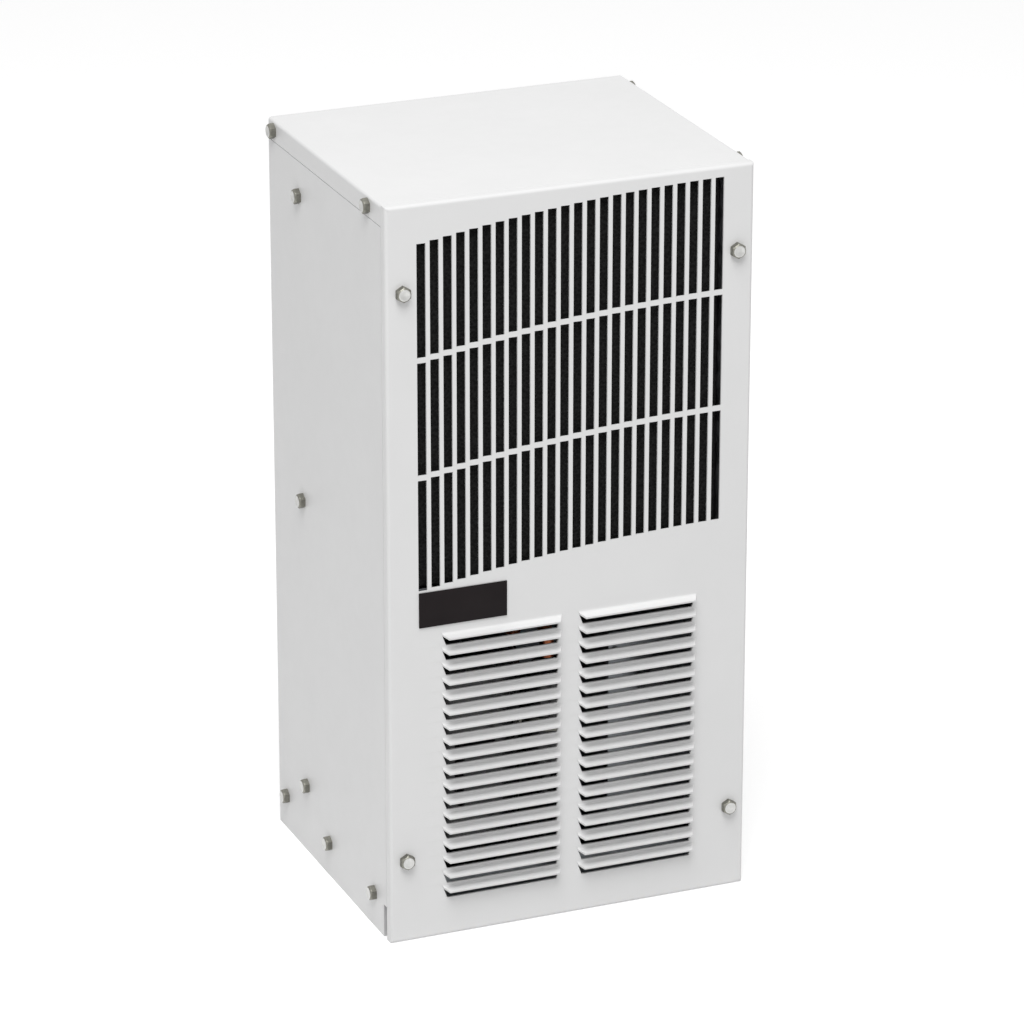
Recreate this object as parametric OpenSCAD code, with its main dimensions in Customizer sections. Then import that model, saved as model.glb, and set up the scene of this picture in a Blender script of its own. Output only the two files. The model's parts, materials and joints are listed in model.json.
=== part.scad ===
// Enclosure cooling unit: a closed refrigeration loop in a sheet steel cabinet.
// The front half breathes room air, the sealed back half cools the enclosure that it is bolted to.
// X runs to the right as seen from the front, Y to the back, Z up.
// The origin lies on the outer face of the rear plate, in the middle of the four mounting nuts.

/* [Cabinet] */
// Width over the two side panels
cabinet_width = 216; // [210:1:260]
// Depth from the front face to the rear plate
cabinet_depth = 181; // [178:1:230]
// Height from the resting edges to the top
cabinet_height = 432; // [428:1:520]
// Thickness of the cabinet's sheet steel
sheet = 1.2; // [1:0.1:1.5]
// Gap at the seams and between nested flanges
seam = 0.3; // [0.2:0.05:0.4]
// Outer radius of the visible bends
bend_radius = 2; // [1.8:0.1:3]
// Width of the inward flange along the front edge of a side panel
side_flange = 15.5; // [13:0.5:16]
// Width of the inward flange along the back edge of a side panel
rear_flange = 24; // [22:0.5:26]
// Length of the step that sets the nested flanges inward
joggle_length = 6; // [4:0.5:10]
// Height of the side flanges of the top cover
top_flange = 12.2; // [10:0.2:14]
// Height of the notch at the foot of a side panel's front edge
foot_notch_height = 20; // [10:1:22]
// Depth of that notch
foot_notch_depth = 4.5; // [3:0.1:5.5]

/* [Front cover] */
// Depth of the rim bent back round the front cover
cover_rim = 6; // [5:0.2:7]
// Distance of the cover screws from the side edges
cover_screw_inset = 9.8; // [8.5:0.1:11]
// Height of the two lower cover screws
cover_screw_low = 49.5; // [40:0.5:70]
// Distance of the two upper cover screws below the top
cover_screw_drop = 49; // [40:0.5:70]
// Gap at each end of the bottom rim
rim_relief = 16; // [8:1:24]
// Radius of the small relief holes in the upper corners
corner_relief = 0.8; // [0.5:0.1:1]
// Width of the slit where two rims meet
corner_slit = 0.4; // [0.2:0.1:0.6]

/* [Grille] */
// Number of slot columns
slot_columns = 24; // [16:1:26]
// Number of slot rows
slot_rows = 3; // [2:1:3]
// Distance from the side edges to the first and last slots
grille_margin = 18; // [16:0.5:24]
// Width of the upright bars
grille_bar = 2.4; // [1.8:0.1:3]
// Height of one row of slots
slot_height = 64.7; // [50:0.1:66]
// Height of the curved cross bars
cross_bar = 2.9; // [2:0.1:4]
// Radius of the curve that the rows follow
arc_radius = 1140; // [900:10:2000]
// Distance of the top of that curve from the right edge
arc_inset = 4; // [0:1:30]
// Distance of the top of that curve below the top of the cabinet
arc_drop = 6.1; // [5.8:0.1:12]

/* [Louvres] */
// Number of blades in each of the two banks
louvre_rows = 18; // [6:1:18]
// Height from one blade to the next
louvre_pitch = 9; // [8.6:0.1:9]
// Height of the lowest hinge line
louvre_low = 31.1; // [20:0.1:31.2]
// Distance from the side edge to a bank
louvre_margin = 31; // [26:0.5:40]
// Width of the plain strip between the banks
louvre_gap = 9.4; // [6:0.2:16]
// Height of each cut opening
louvre_opening = 7.9; // [6:0.1:8]
// Length of a blade from its hinge line to its free edge
louvre_reach = 7.1; // [5:0.1:7.2]
// How much shorter the free edge is at each end
louvre_taper = 3; // [0:0.1:5]
// Angle of a blade from the face
louvre_angle = 62; // [45:1:70]

/* [Nameplate] */
// Width of the bare nameplate
nameplate_width = 52; // [30:1:60]
// Height of the nameplate
nameplate_height = 20.6; // [12:0.2:22]
// Thickness of the nameplate
nameplate_thickness = 0.8; // [0.5:0.1:2]
// Strip between the nameplate and the corner of the grille
nameplate_gap = 0.4; // [0.2:0.1:2]

/* [Cabinet screws] */
// Width across the flats of the screw heads
screw_flats = 7.9; // [7:0.1:9]
// Height of the screw heads
screw_head = 3.8; // [2.5:0.1:4.5]
// Radius of the screw shanks
screw_radius = 2; // [1.6:0.1:2.4]
// Length of the screw shanks
screw_length = 6; // [5:0.5:6.5]
// Radial clearance round the screw shanks
screw_clearance = 0.3; // [0.15:0.05:0.5]
// Distance of the front side screws from the front face
side_screw_front = 25.5; // [22:0.5:30]
// Distance of the lower rear side screws from the back
side_screw_back = 13; // [8:0.5:16]
// Distance of the upper rear side screws from the back
flange_screw_back = 8.4; // [7:0.1:12]
// Height of the lower row of side screws
side_screw_low = 21; // [19:0.5:24]
// Drop of the flange screws below the top
flange_screw_drop = 6; // [5:0.5:7]
// Height of the lowest side screw that holds the partition
partition_screw_low = 41.8; // [36:0.2:60]
// Height of the middle one
partition_screw_middle = 218.6; // [180:0.2:250]
// Drop of the upper one below the top
partition_screw_drop = 32.6; // [28:0.2:50]
// Distance of these screws from the back
partition_screw_back = 47.7; // [45:0.1:50]

/* [Base and rear plate] */
// Height of the base pan's floor above the resting edges
floor_height = 10; // [9:0.5:12]
// Height of the base pan's rims above the floor
pan_rim = 20; // [16:1:22]
// Radius of the warm air inlet
inlet_radius = 43; // [36:0.5:46]
// Height of the warm air inlet's centre
inlet_height = 330; // [320:1:340]
// Width of the cold air outlet
outlet_width = 160; // [120:1:168]
// Height of the cold air outlet
outlet_tall = 56; // [40:1:64]
// Height of the outlet's lower edge
outlet_low = 62; // [56:1:70]
// Distance between the mounting nuts across the plate
mount_spacing_x = 150; // [140:1:154]
// Distance between the mounting nuts up the plate
mount_spacing_z = 340; // [330:1:344]
// Height of the lower mounting nuts
mount_low = 46; // [44:1:48]
// Radius of the threaded mounting bores
mount_radius = 3; // [2:0.1:3.2]
// Wall of the collar that each nut has in the plate
mount_collar = 1.2; // [0.8:0.1:1.6]
// Width across the flats of the mounting nuts
mount_flats = 11; // [10.5:0.5:13]
// Height of the mounting nuts
mount_tall = 6; // [4:0.5:6.5]
// Width of the mounting gasket
gasket_width = 10; // [6:0.5:11]
// Thickness of the mounting gasket
gasket_thickness = 3; // [2:0.5:6]
// Distance of the gasket from the plate's edges
gasket_inset = 3; // [2:0.5:4]
// Distance of the rear plate screws from the side edges
rear_screw_inset = 20; // [19:0.5:20.5]
// Height of the lowest rear plate screws
rear_screw_low = 40; // [36:1:60]
// Distance of the highest ones below the top
rear_screw_drop = 33; // [28:1:60]
// Height of the low domed heads of the rear plate screws
rear_screw_head = 1.6; // [1:0.1:1.8]
// Radius of those heads
rear_screw_head_radius = 3.2; // [2.8:0.1:3.6]

/* [Air filter] */
// Thickness of the foam filter
filter_thickness = 8; // [5:0.5:9]
// Gap between the cover and the filter
filter_setback = 3; // [2:0.5:4]
// Thickness of the filter retainer's sheet
retainer_sheet = 1; // [0.8:0.1:1.2]
// Width of the lip that holds the filter at the back
retainer_lip = 4; // [3:0.5:8]
// Height of the retainer's welded foot
retainer_foot = 8; // [5:0.5:9]
// Clearance between the retainer and the slots
retainer_clear = 0.4; // [0.2:0.1:0.6]
// Height of the front lip over and under the filter
retainer_front_lip = 1; // [0.5:0.1:1.2]

/* [Condenser] */
// Distance from the front face to the coil
condenser_setback = 17; // [16.5:0.5:20]
// Depth of the coil
condenser_depth = 36; // [34:0.5:40]
// Radius of the tubes
condenser_tube = 4; // [3.5:0.1:4.2]
// Number of tubes in each of the two rows
condenser_tubes_high = 8; // [4:1:8]
// Height from one tube to the next
condenser_pitch = 27; // [21:0.5:27]
// Depth from the front row to the back row
condenser_row_pitch = 20; // [19:0.5:22]
// Number of fins
condenser_fin_count = 38; // [16:1:48]
// Thickness of a fin
fin_thickness = 0.5; // [0.3:0.05:0.8]
// Distance from the side wall to the coil's end plates
coil_end_space = 25; // [24.5:0.5:30]
// Thickness of the end plates
end_plate = 1.2; // [1:0.1:1.5]
// Width of an end plate's flange
end_flange = 11; // [9:0.5:13]
// Radial clearance of tubes in fins and plates
tube_clear = 0.3; // [0.2:0.05:0.4]

/* [Condenser fan] */
// Radius over the blades
fan_radius = 75; // [60:0.5:77]
// Running gap round the blades
fan_tip_gap = 3; // [2:0.5:4]
// Number of blades
fan_blades = 5; // [3:1:7]
// Angle of the blades
fan_blade_angle = 28; // [20:1:32]
// Thickness of the blades
fan_blade_thickness = 1.6; // [1.2:0.1:2.4]
// Length of a blade across the flow
fan_chord = 34; // [24:1:36]
// Radius of the fan's hub
fan_hub_radius = 30; // [28:0.5:34]
// Depth of the fan's hub
fan_hub_depth = 24; // [20:0.5:26]
// Depth of the ring round the fan
shroud_ring = 20; // [12:0.5:24]
// Height of the shroud's shelf
shelf_height = 199; // [196:0.5:201]
// Drop of the shroud's top edge below the top
shroud_drop = 4; // [3:0.5:6]

/* [Motors] */
// Radius of the motor shafts
shaft_radius = 3; // [2:0.1:4]
// Radial running fit of the shafts
shaft_fit = 0.05; // [0.02:0.01:0.09]
// Wall of the rotor cups
rotor_wall = 4; // [3:0.5:5]
// Gap between stator and rotor
air_gap = 1; // [0.6:0.1:1.5]
// Thickness of the motor feet
motor_foot = 5; // [4:0.5:7]

/* [Blower] */
// Radius of the blower wheel
wheel_radius = 66; // [58:0.5:68]
// Number of blades
wheel_blades = 9; // [5:1:12]
// Thickness of the wheel's discs and blades
wheel_wall = 1.6; // [1.2:0.1:2]
// Depth of the wheel between its discs
wheel_depth = 30; // [24:0.5:31]
// Radius of the rotor inside the wheel
wheel_rotor = 32; // [28:0.5:34]
// Angle of the blades from a spoke
wheel_blade_angle = 40; // [0:1:50]
// Running gap between wheel and inlet ring
ring_gap = 1.5; // [1:0.1:2]

/* [Partition] */
// Distance from the partition to the back
partition_back = 57; // [56:0.5:58]
// Width of the partition's side flanges
partition_flange = 17; // [14:0.5:20]
// Thickness of the insulation behind the partition
insulation = 5; // [3:0.5:6]

/* [Evaporator] */
// Depth of the coil
evaporator_depth = 42; // [36:0.5:43]
// Height of the fins' lower edge
evaporator_low = 166; // [150:1:170]
// Distance from one tube to the next, both ways
evaporator_pitch = 21; // [19.5:0.5:21]
// Number of tube rows up the coil
evaporator_rows = 3; // [1:2:3]
// Radius of the tubes
evaporator_tube = 4; // [3.5:0.1:4.2]
// Number of fins
evaporator_fin_count = 34; // [16:1:44]

/* [Drain] */
// Height of the drain pan
drain_height = 13; // [8:0.5:18]
// Wall of the drain pan
drain_wall = 1.5; // [1:0.1:2]
// Distance of the drain pan from the walls
drain_clear = 5; // [4.5:0.5:7]
// Outer radius of the drain nipple
nipple_radius = 5; // [4:0.1:6]
// Bore radius of the drain nipple
nipple_bore = 3.4; // [2.4:0.1:3.6]
// Distance of the nipple from the middle
nipple_x = 60; // [40:1:80]

/* [Compressor] */
// Radius of the shell
shell_radius = 40; // [36:0.5:41]
// Height of the shell over its domed ends
shell_height = 128; // [110:1:134]
// Height of each domed end
dome_height = 16; // [10:1:22]
// Distance of the shell's axis left of the middle
shell_x = 46; // [46:0.5:50]
// Distance of the shell's axis from the front face
shell_y = 67; // [66:0.5:68]
// Radius of the circle of the three feet
feet_circle = 50; // [49:0.5:52]
// Radius of a foot's rounded end
foot_end = 8; // [7:0.5:8.5]
// Thickness of the feet
foot_plate = 2.5; // [2:0.1:3.5]
// Height of the rubber grommets
grommet_height = 10; // [8:0.5:14]
// Radius of the rubber grommets
grommet_radius = 8; // [7:0.5:9]
// Radius of the compressor's bolts
bolt_radius = 3; // [2.5:0.1:3.5]
// Length of those bolts above the floor
bolt_length = 24; // [22:0.5:28]
// Radius of the suction accumulator
accumulator_radius = 16; // [12:0.5:16.5]
// Height of the accumulator
accumulator_height = 72; // [50:1:80]
// Height of the accumulator's lower end
accumulator_low = 58; // [54:1:64]

/* [Refrigerant lines] */
// Radius of the discharge and liquid lines
line_radius = 3.2; // [2.4:0.1:3.6]
// Radius of the suction line
suction_radius = 4.2; // [3.2:0.1:4.6]
// Radius of the capillary tube
capillary_radius = 1.5; // [1:0.1:2]
// Centre line radius of the tube bends
line_bend = 9; // [8:0.5:9.5]
// Distance of the upright lines from the side wall
line_inset = 12; // [11:0.5:13]
// Radius of the filter drier
drier_radius = 9; // [7:0.5:10]
// Length of the filter drier between its tapered ends
drier_length = 60; // [40:1:70]
// Length of each tapered end
drier_cone = 9; // [6:0.5:12]
// Height of the filter drier's lower end
drier_low = 84; // [76:1:90]
// Height of the capillary's run to the back
capillary_run = 58; // [54:1:62]
// Height of the suction line's run to the front
suction_run = 122; // [110:1:130]
// Radial clearance of the lines in sheet holes
line_clear = 1; // [0.5:0.1:1.5]

/* [Electrical box] */
// Width of the box
box_width = 58; // [54:0.5:60]
// Depth of the box
box_depth = 58; // [54:0.5:62]
// Height of the box
box_height = 138; // [132:1:145]
// Thickness of the box's sheet
box_sheet = 1; // [0.8:0.1:1.2]
// Distance of the box from the side wall
box_inset = 8.8; // [8.4:0.1:10]
// Distance of the box's cover from the front face
box_setback = 42; // [38:0.5:44]
// Radius of the run capacitor
capacitor_radius = 15; // [12:0.5:17]
// Height of the run capacitor
capacitor_height = 62; // [40:1:66]
// Width of the terminal block
terminal_width = 46; // [36:1:48]
// Height of the terminal block
terminal_height = 22; // [16:0.5:26]
// Depth of the terminal block
terminal_depth = 14; // [10:0.5:16]
// Number of terminals
terminal_count = 5; // [3:1:5]
// Width of the thermostat's body
thermostat_width = 34; // [26:1:40]
// Height of the thermostat's body
thermostat_height = 30; // [22:1:34]
// Depth of the thermostat's body
thermostat_depth = 18; // [12:0.5:22]
// Height of the thermostat's axis above the box's floor
thermostat_rise = 108; // [100:1:114]
// Radius of the thermostat's knob
knob_radius = 13; // [9:0.5:15]
// Depth of the thermostat's knob
knob_depth = 13; // [10:0.5:16]
// Radius of the cable gland's thread
gland_radius = 8; // [6:0.1:9]
// Bore radius of the cable gland
gland_bore = 4.5; // [3:0.1:5]
// Width across the flats of the gland's body and nut
gland_flats = 20; // [19:0.5:22]
// Height of the gland's body under the floor
gland_drop = 8; // [6:0.5:8.5]

/* [Hidden] */
$fn = 48;
over = 1;
paint = "gainsboro";
steel = "silver";
copper = "peru";
dark = "dimgray";
// Places along Y, from the front face at the front to the rear plate's outer face at zero
front = -cabinet_depth;
rim_back = cover_rim + seam;
nest = sheet + seam;
nest_in = nest + sheet;
side = cabinet_width / 2;
bottom = -mount_low - mount_spacing_z / 2;
wall_top = cabinet_height - top_flange - seam;
tongue_low = wall_top - joggle_length;
fold_corner = 0.6;
hole_radius = screw_radius + screw_clearance;
// Grille
grille_half = side - grille_margin;
slot_pitch = (2 * grille_half + grille_bar) / slot_columns;
slot_width = slot_pitch - grille_bar;
arc_x = side - arc_inset;
arc_z = cabinet_height - arc_drop - arc_radius;
row_pitch = slot_height + cross_bar;
grille_drop = slot_rows * row_pitch - cross_bar;
grille_low = arc_z + sqrt(arc_radius ^ 2 - (arc_x + grille_half) ^ 2) - grille_drop;
grille_top = cabinet_height - arc_drop;
// Louvres
bank_width = (cabinet_width - 2 * louvre_margin - louvre_gap) / 2;
bank_x = (louvre_gap + bank_width) / 2;
louvre_root = 0.8;
louvre_kerf = 0.15;
// Partition, measured from the front face
partition_y = cabinet_depth - partition_back;
insulation_y = partition_y + sheet;
rear_room = insulation_y + insulation;
// Base pan
floor_top = floor_height + sheet;
pan_top = floor_height + pan_rim;
pan_front = rim_back + joggle_length + seam;
pan_back = cabinet_depth - nest_in - seam;
inside = side - nest_in - seam;
// Condenser
coil_back = condenser_setback + condenser_depth;
shelf_top = shelf_height + sheet;
coil_height = condenser_tubes_high * condenser_pitch;
coil_top = shelf_top + coil_height;
coil_face = side - coil_end_space;
port_stub = 3;
port_x = coil_face + port_stub;
coil_row_front = condenser_setback + condenser_depth / 2 - condenser_row_pitch / 2;
coil_screw_x = coil_face + end_flange / 2;
coil_screw_heights = [shelf_top + 2 * condenser_pitch, coil_top - condenser_pitch];
coil_row_back = coil_row_front + condenser_row_pitch;
fin_inset = 1;
bend_start = 2;
// Fan
fan_z = shelf_top + coil_height / 2;
ring_inner = fan_radius + fan_tip_gap;
fan_lead = 2.2;
fan_front_y = coil_back + sheet + fan_lead;
fan_foot_y = fan_front_y + fan_hub_depth + air_gap + motor_foot;
fan_root_share = 0.7;
boss_wall = 3;
boss_radius = shaft_radius + boss_wall;
leg_radius = 3;
leg_space = 1.2;
leg_count = 4;
leg_circle = ring_inner + sheet + leg_radius + leg_space;
arm_width = 10;
bracket_sheet = 1.5;
// Blower
wheel_lead = 4;
wheel_rotor_depth = 26;
wheel_back = motor_foot + air_gap + wheel_lead;
wheel_front = wheel_back + wheel_wall + wheel_depth;
wheel_mouth = inlet_radius + ring_gap;
ring_wall = 1;
ring_flange = 7;
ring_reach = 1;
// Evaporator, measured from the front face
evaporator_gap = 2.8;
evaporator_front = rear_room + evaporator_gap;
evaporator_middle = evaporator_front + evaporator_depth / 2;
evaporator_a = evaporator_middle - evaporator_pitch / 2;
evaporator_b = evaporator_a + evaporator_pitch;
evaporator_first = evaporator_low + evaporator_pitch / 2;
evaporator_height = evaporator_rows * evaporator_pitch;
// Drain
drain_front = rear_room + drain_clear / 2;
drain_back = pan_back - sheet - drain_clear / 2;
drain_half = side - nest_in - drain_clear;
nipple_y = (drain_front + drain_back) / 2;
nipple_drop = 9;
nipple_flange = 1.5;
nipple_shank = nipple_radius + drain_wall / 2;
nipple_collar = 1;
nipple_flange_radius = 9;
// Compressor
shell_axis = [-shell_x, front + shell_y, 0];
foot_low = floor_top + grommet_height + seam;
shell_low = foot_low + foot_plate;
shell_top = shell_low + shell_height;
stub_height = 6;
bolt_head = 3.5;
bolt_flats = 10;
nut_height = 5;
feet_turn = 120;
accumulator_gap = 4;
accumulator_x = -shell_x + shell_radius + accumulator_gap + accumulator_radius;
accumulator_top = accumulator_low + accumulator_height;
stub_drop = 7;
stub_length = 3;
suction_stub_z = accumulator_low - line_bend - stub_drop;
suction_stub_x = -shell_x + shell_radius + stub_length;
strap_height = 8;
strap_wall = 1;
cover_wide = 24;
cover_deep = 12;
cover_tall = 36;
cover_low = 66;
// Lines
line_x = -(side - line_inset);
line_rise = 18;
port_z = shelf_top + condenser_pitch / 2;
drier_top = drier_low + drier_length + 2 * drier_cone;
suction_back_y = 115;
suction_top = accumulator_top + line_bend * 2;
// Electrical box
box_right = side - box_inset;
box_left = box_right - box_width;
box_x = (box_left + box_right) / 2;
box_back = box_setback + box_depth;
box_top = floor_top + box_height;
box_lip = 8;
box_screw_radius = 1.5;
box_screw_head_radius = 3;
box_screw_head = 2;
box_screw_length = 5;
box_screw_rise = 12;
capacitor_gap = 1;
capacitor_y = box_back - box_sheet - capacitor_gap - capacitor_radius;
gland_setback = 13.5;
gland_y = box_setback + gland_setback;
gland_nut = 4;
terminal_rise = 84;
terminal_wall = 1.6;
thermostat_z = floor_top + thermostat_rise;
thermostat_shaft = 10;
knob_gap = 1;
knob_grip = 8;
knob_grip_radius = 2.4;
pointer_width = 2;
pointer_rise = 1.2;
// Screw places on the electrical box's cover, as distance along X and height
box_screw_places = [
    for (
        x = [box_left + box_lip / 2, box_right - box_lip / 2],
        z = [floor_top + box_screw_rise, box_top - box_screw_rise]
    )
        [x, z]
];
// Screw places on a side panel, as distance along Y and height
side_places = [
    [front + side_screw_front, cabinet_height - flange_screw_drop],
    [-flange_screw_back, cabinet_height - flange_screw_drop],
    [-partition_screw_back, partition_screw_low],
    [-partition_screw_back, partition_screw_middle],
    [-partition_screw_back, cabinet_height - partition_screw_drop],
    [front + side_screw_front, side_screw_low],
    [(front + side_screw_front - side_screw_back) / 2, side_screw_low],
    [-side_screw_back, side_screw_low],
];
// Screw heights in the front cover and the rear plate
cover_heights = [cover_screw_low, cabinet_height - cover_screw_drop];
rear_heights = [
    rear_screw_low,
    (rear_screw_low + cabinet_height - rear_screw_drop) / 2,
    cabinet_height - rear_screw_drop,
];
mount_heights = [mount_low, mount_low + mount_spacing_z];
louvre_heights = [for (row = [0 : louvre_rows - 1]) louvre_low + row * louvre_pitch];
feet_angles = [0, feet_turn, 2 * feet_turn];

function unit(v) = v / norm(v);
function bend_of(pitch_a, pitch_b) = min(pitch_a, pitch_b) / 2;
function column(y, first, pitch, count) = [for (k = [0 : count - 1]) [front + y, first + k * pitch]];
function flipped(list) = [for (k = [len(list) - 1 : -1 : 0]) list[k]];
// Way of one tube through every place of a coil, from port to port
function coil_way(places, turn_x) = concat(
    [[-port_x, places[0][0], places[0][1]]],
    [for (k = [0 : len(places) - 2]) each [
        [(k % 2 == 0 ? 1 : -1) * turn_x, places[k][0], places[k][1]],
        [(k % 2 == 0 ? 1 : -1) * turn_x, places[k + 1][0], places[k + 1][1]],
    ]],
    [[-port_x, places[len(places) - 1][0], places[len(places) - 1][1]]]
);
condenser_places = concat(
    column(coil_row_front, port_z, condenser_pitch, condenser_tubes_high),
    flipped(column(coil_row_back, port_z, condenser_pitch, condenser_tubes_high))
);
evaporator_places = concat(
    column(evaporator_a, evaporator_first, evaporator_pitch, evaporator_rows),
    flipped(column(evaporator_b, evaporator_first, evaporator_pitch, evaporator_rows))
);

// Heights are counted from the resting edges, and this sets them in the part's frame
module placed() {
    translate([0, 0, bottom]) children();
}

module block(low, high) {
    translate(low) cube(high - low);
}

module rod_x(at, radius, length) {
    translate(at) rotate([0, 90, 0]) cylinder(r = radius, h = length);
}

module rod_y(at, radius, length) {
    translate(at) rotate([-90, 0, 0]) cylinder(r = radius, h = length);
}

module rod_z(at, radius, length) {
    translate(at) cylinder(r = radius, h = length);
}

module hexagon(flats, height) {
    cylinder(r = flats / sqrt(3), h = height, $fn = 6);
}

// Chamfered hexagonal head that stands on the plane z = 0
module hex_head(flats, height) {
    intersection() {
        hexagon(flats, height);
        cylinder(r1 = flats / 2 + height * sqrt(3), r2 = flats / 2, h = height);
    }
}

module hex_screw() {
    hex_head(screw_flats, screw_head);
    translate([0, 0, -screw_length]) cylinder(r = screw_radius, h = screw_length);
}

// Straight stretch of tube between two points
module stretch(start, end, radius) {
    ahead = unit(end - start);
    across = abs(ahead[2]) > abs(ahead[0]) + abs(ahead[1]) ? [1, 0, 0] : [0, 0, 1];
    beside = cross(ahead, across);
    multmatrix([
        [across[0], beside[0], ahead[0], start[0]],
        [across[1], beside[1], ahead[1], start[1]],
        [across[2], beside[2], ahead[2], start[2]],
        [0, 0, 0, 1],
    ]) cylinder(r = radius, h = norm(end - start));
}

// Quarter bend at a corner, from one direction to a square one
module elbow(corner, before, after, radius, bend) {
    middle = corner - before * bend + after * bend;
    upright = cross(before, after);
    multmatrix([
        [-after[0], before[0], upright[0], middle[0]],
        [-after[1], before[1], upright[1], middle[1]],
        [-after[2], before[2], upright[2], middle[2]],
        [0, 0, 0, 1],
    ]) rotate_extrude(angle = 90) translate([bend, 0]) circle(r = radius);
}

// Round tube along square corners with even bends
module tube_way(points, radius, bend) {
    last = len(points) - 1;
    for (k = [0 : last - 1]) {
        ahead = unit(points[k + 1] - points[k]);
        start = points[k] + ahead * (k == 0 ? 0 : bend);
        end = points[k + 1] - ahead * (k == last - 1 ? 0 : bend);
        if ((end - start) * ahead > corner_slit) stretch(start, end, radius);
    }
    for (k = [1 : last - 1])
        elbow(points[k], unit(points[k] - points[k - 1]), unit(points[k + 1] - points[k]), radius, bend);
}

// Outline of a folded pan, open at the far side, with rounded near corners
module pan_outline(half, depth, radius) {
    translate([-half, radius]) square([2 * half, depth - radius]);
    translate([radius - half, 0]) square([2 * (half - radius), radius]);
    for (edge = [-1, 1]) translate([edge * (half - radius), radius]) circle(r = radius);
}

module cover_block(inset, radius, depth) {
    middle = cabinet_height / 2;
    intersection() {
        translate([0, front + inset, inset]) linear_extrude(cabinet_height - 2 * inset)
            pan_outline(side - inset, depth - inset, radius);
        translate([-side, front + inset, middle]) rotate([90, 0, 90]) linear_extrude(cabinet_width)
            rotate(-90) mirror([1, 0]) pan_outline(middle - inset, depth - inset, radius);
    }
}

// Slots of the grille: upright strips cut to rows that follow one curve
module grille_outline() {
    intersection() {
        for (k = [0 : slot_columns - 1])
            translate([k * slot_pitch - grille_half, grille_low]) square([slot_width, grille_top - grille_low]);
        for (row = [0 : slot_rows - 1]) difference() {
            translate([arc_x, arc_z - row * row_pitch]) circle(r = arc_radius);
            translate([arc_x, arc_z - row * row_pitch - slot_height]) circle(r = arc_radius);
        }
    }
}

module grille_slots() {
    translate([0, front + sheet + over, 0]) rotate([90, 0, 0]) linear_extrude(sheet + 2 * over) grille_outline();
}

// Outline of a blade and of its opening; the blade is narrower by the width of the cut
module louvre_outline(root, kerf, reach) {
    half = bank_width / 2 - kerf;
    polygon([
        [-half, root],
        [half, root],
        [half, 0],
        [half - louvre_taper, -reach],
        [louvre_taper - half, -reach],
        [-half, 0],
    ]);
}

module louvre_slots() {
    for (bank = [-1, 1], height = louvre_heights)
        translate([bank * bank_x, front + sheet + over, height]) rotate([90, 0, 0])
            linear_extrude(sheet + 2 * over) louvre_outline(0, 0, louvre_opening);
}

module louvre_blades() {
    for (bank = [-1, 1], height = louvre_heights)
        translate([bank * bank_x, front, height]) rotate([-louvre_angle, 0, 0]) translate([0, sheet, 0])
            rotate([90, 0, 0]) linear_extrude(sheet)
                louvre_outline(louvre_root, louvre_kerf, louvre_reach);
}

module front_cover() {
    color(paint) placed() {
        difference() {
            cover_block(0, bend_radius, cover_rim);
            cover_block(sheet, bend_radius - sheet, cover_rim + over);
            grille_slots();
            louvre_slots();
            for (edge = [-1, 1]) {
                block(
                    [edge > 0 ? side - rim_relief : sheet - side, front + bend_radius, -over],
                    [edge > 0 ? side - sheet : rim_relief - side, front + cover_rim + over, sheet + over]
                );
                translate([edge * side, front + bend_radius, cabinet_height]) rotate([0, edge * 45, 0]) {
                    cylinder(r = corner_relief, h = 4 * bend_radius, center = true);
                    translate([-corner_slit / 2, 0, -2 * bend_radius]) cube([corner_slit, cover_rim, 4 * bend_radius]);
                }
                for (height = cover_heights)
                    rod_y([edge * (side - cover_screw_inset), front - over, height], hole_radius, sheet + 2 * over);
            }
        }
        louvre_blades();
    }
}

module nameplate() {
    color("black") placed()
        block(
            [-grille_half, front - nameplate_thickness, grille_low - nameplate_gap - nameplate_height],
            [nameplate_width - grille_half, front, grille_low - nameplate_gap]
        );
}

module cover_screws() {
    color(steel) placed()
        for (edge = [-1, 1], height = cover_heights)
            translate([edge * (side - cover_screw_inset), front, height]) rotate([90, 0, 0]) hex_screw();
}

// Folded section of the left side panel, as distances inward and back from its front outer corner
module side_section() {
    polygon([
        [0, rim_back],
        [0, cabinet_depth],
        [sheet, cabinet_depth],
        [sheet, cabinet_depth - nest],
        [rear_flange, cabinet_depth - nest],
        [rear_flange, cabinet_depth - nest_in],
        [sheet, cabinet_depth - nest_in],
        [sheet, rim_back + joggle_length],
        [nest_in, rim_back + joggle_length],
        [nest_in, nest_in],
        [side_flange, nest_in],
        [side_flange, nest],
        [nest + fold_corner, nest],
        [nest, nest + fold_corner],
        [nest, rim_back],
    ]);
}

module side_panel() {
    difference() {
        translate([-side, front, 0]) {
            linear_extrude(wall_top) side_section();
            block(
                [sheet, rim_back + joggle_length, tongue_low],
                [nest_in, cabinet_depth - nest_in - seam, wall_top]
            );
            block(
                [nest, rim_back + joggle_length, wall_top],
                [nest_in, cabinet_depth - nest_in - seam, cabinet_height - nest]
            );
        }
        block([-side - over, front, -over], [side_flange + over - side, front + rim_back + foot_notch_depth, foot_notch_height]);
        for (place = side_places)
            rod_x([-side - over, place[0], place[1]], hole_radius, nest_in + 2 * over);
        for (height = cover_heights)
            rod_y([cover_screw_inset - side, front, height], hole_radius, nest_in + over);
        for (height = rear_heights)
            rod_y([rear_screw_inset - side, -nest_in - over, height], hole_radius, nest_in + 2 * over);
    }
}

module left_side_panel() {
    color(paint) placed() side_panel();
}

module right_side_panel() {
    color(paint) placed() mirror([1, 0, 0]) side_panel();
}

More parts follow.
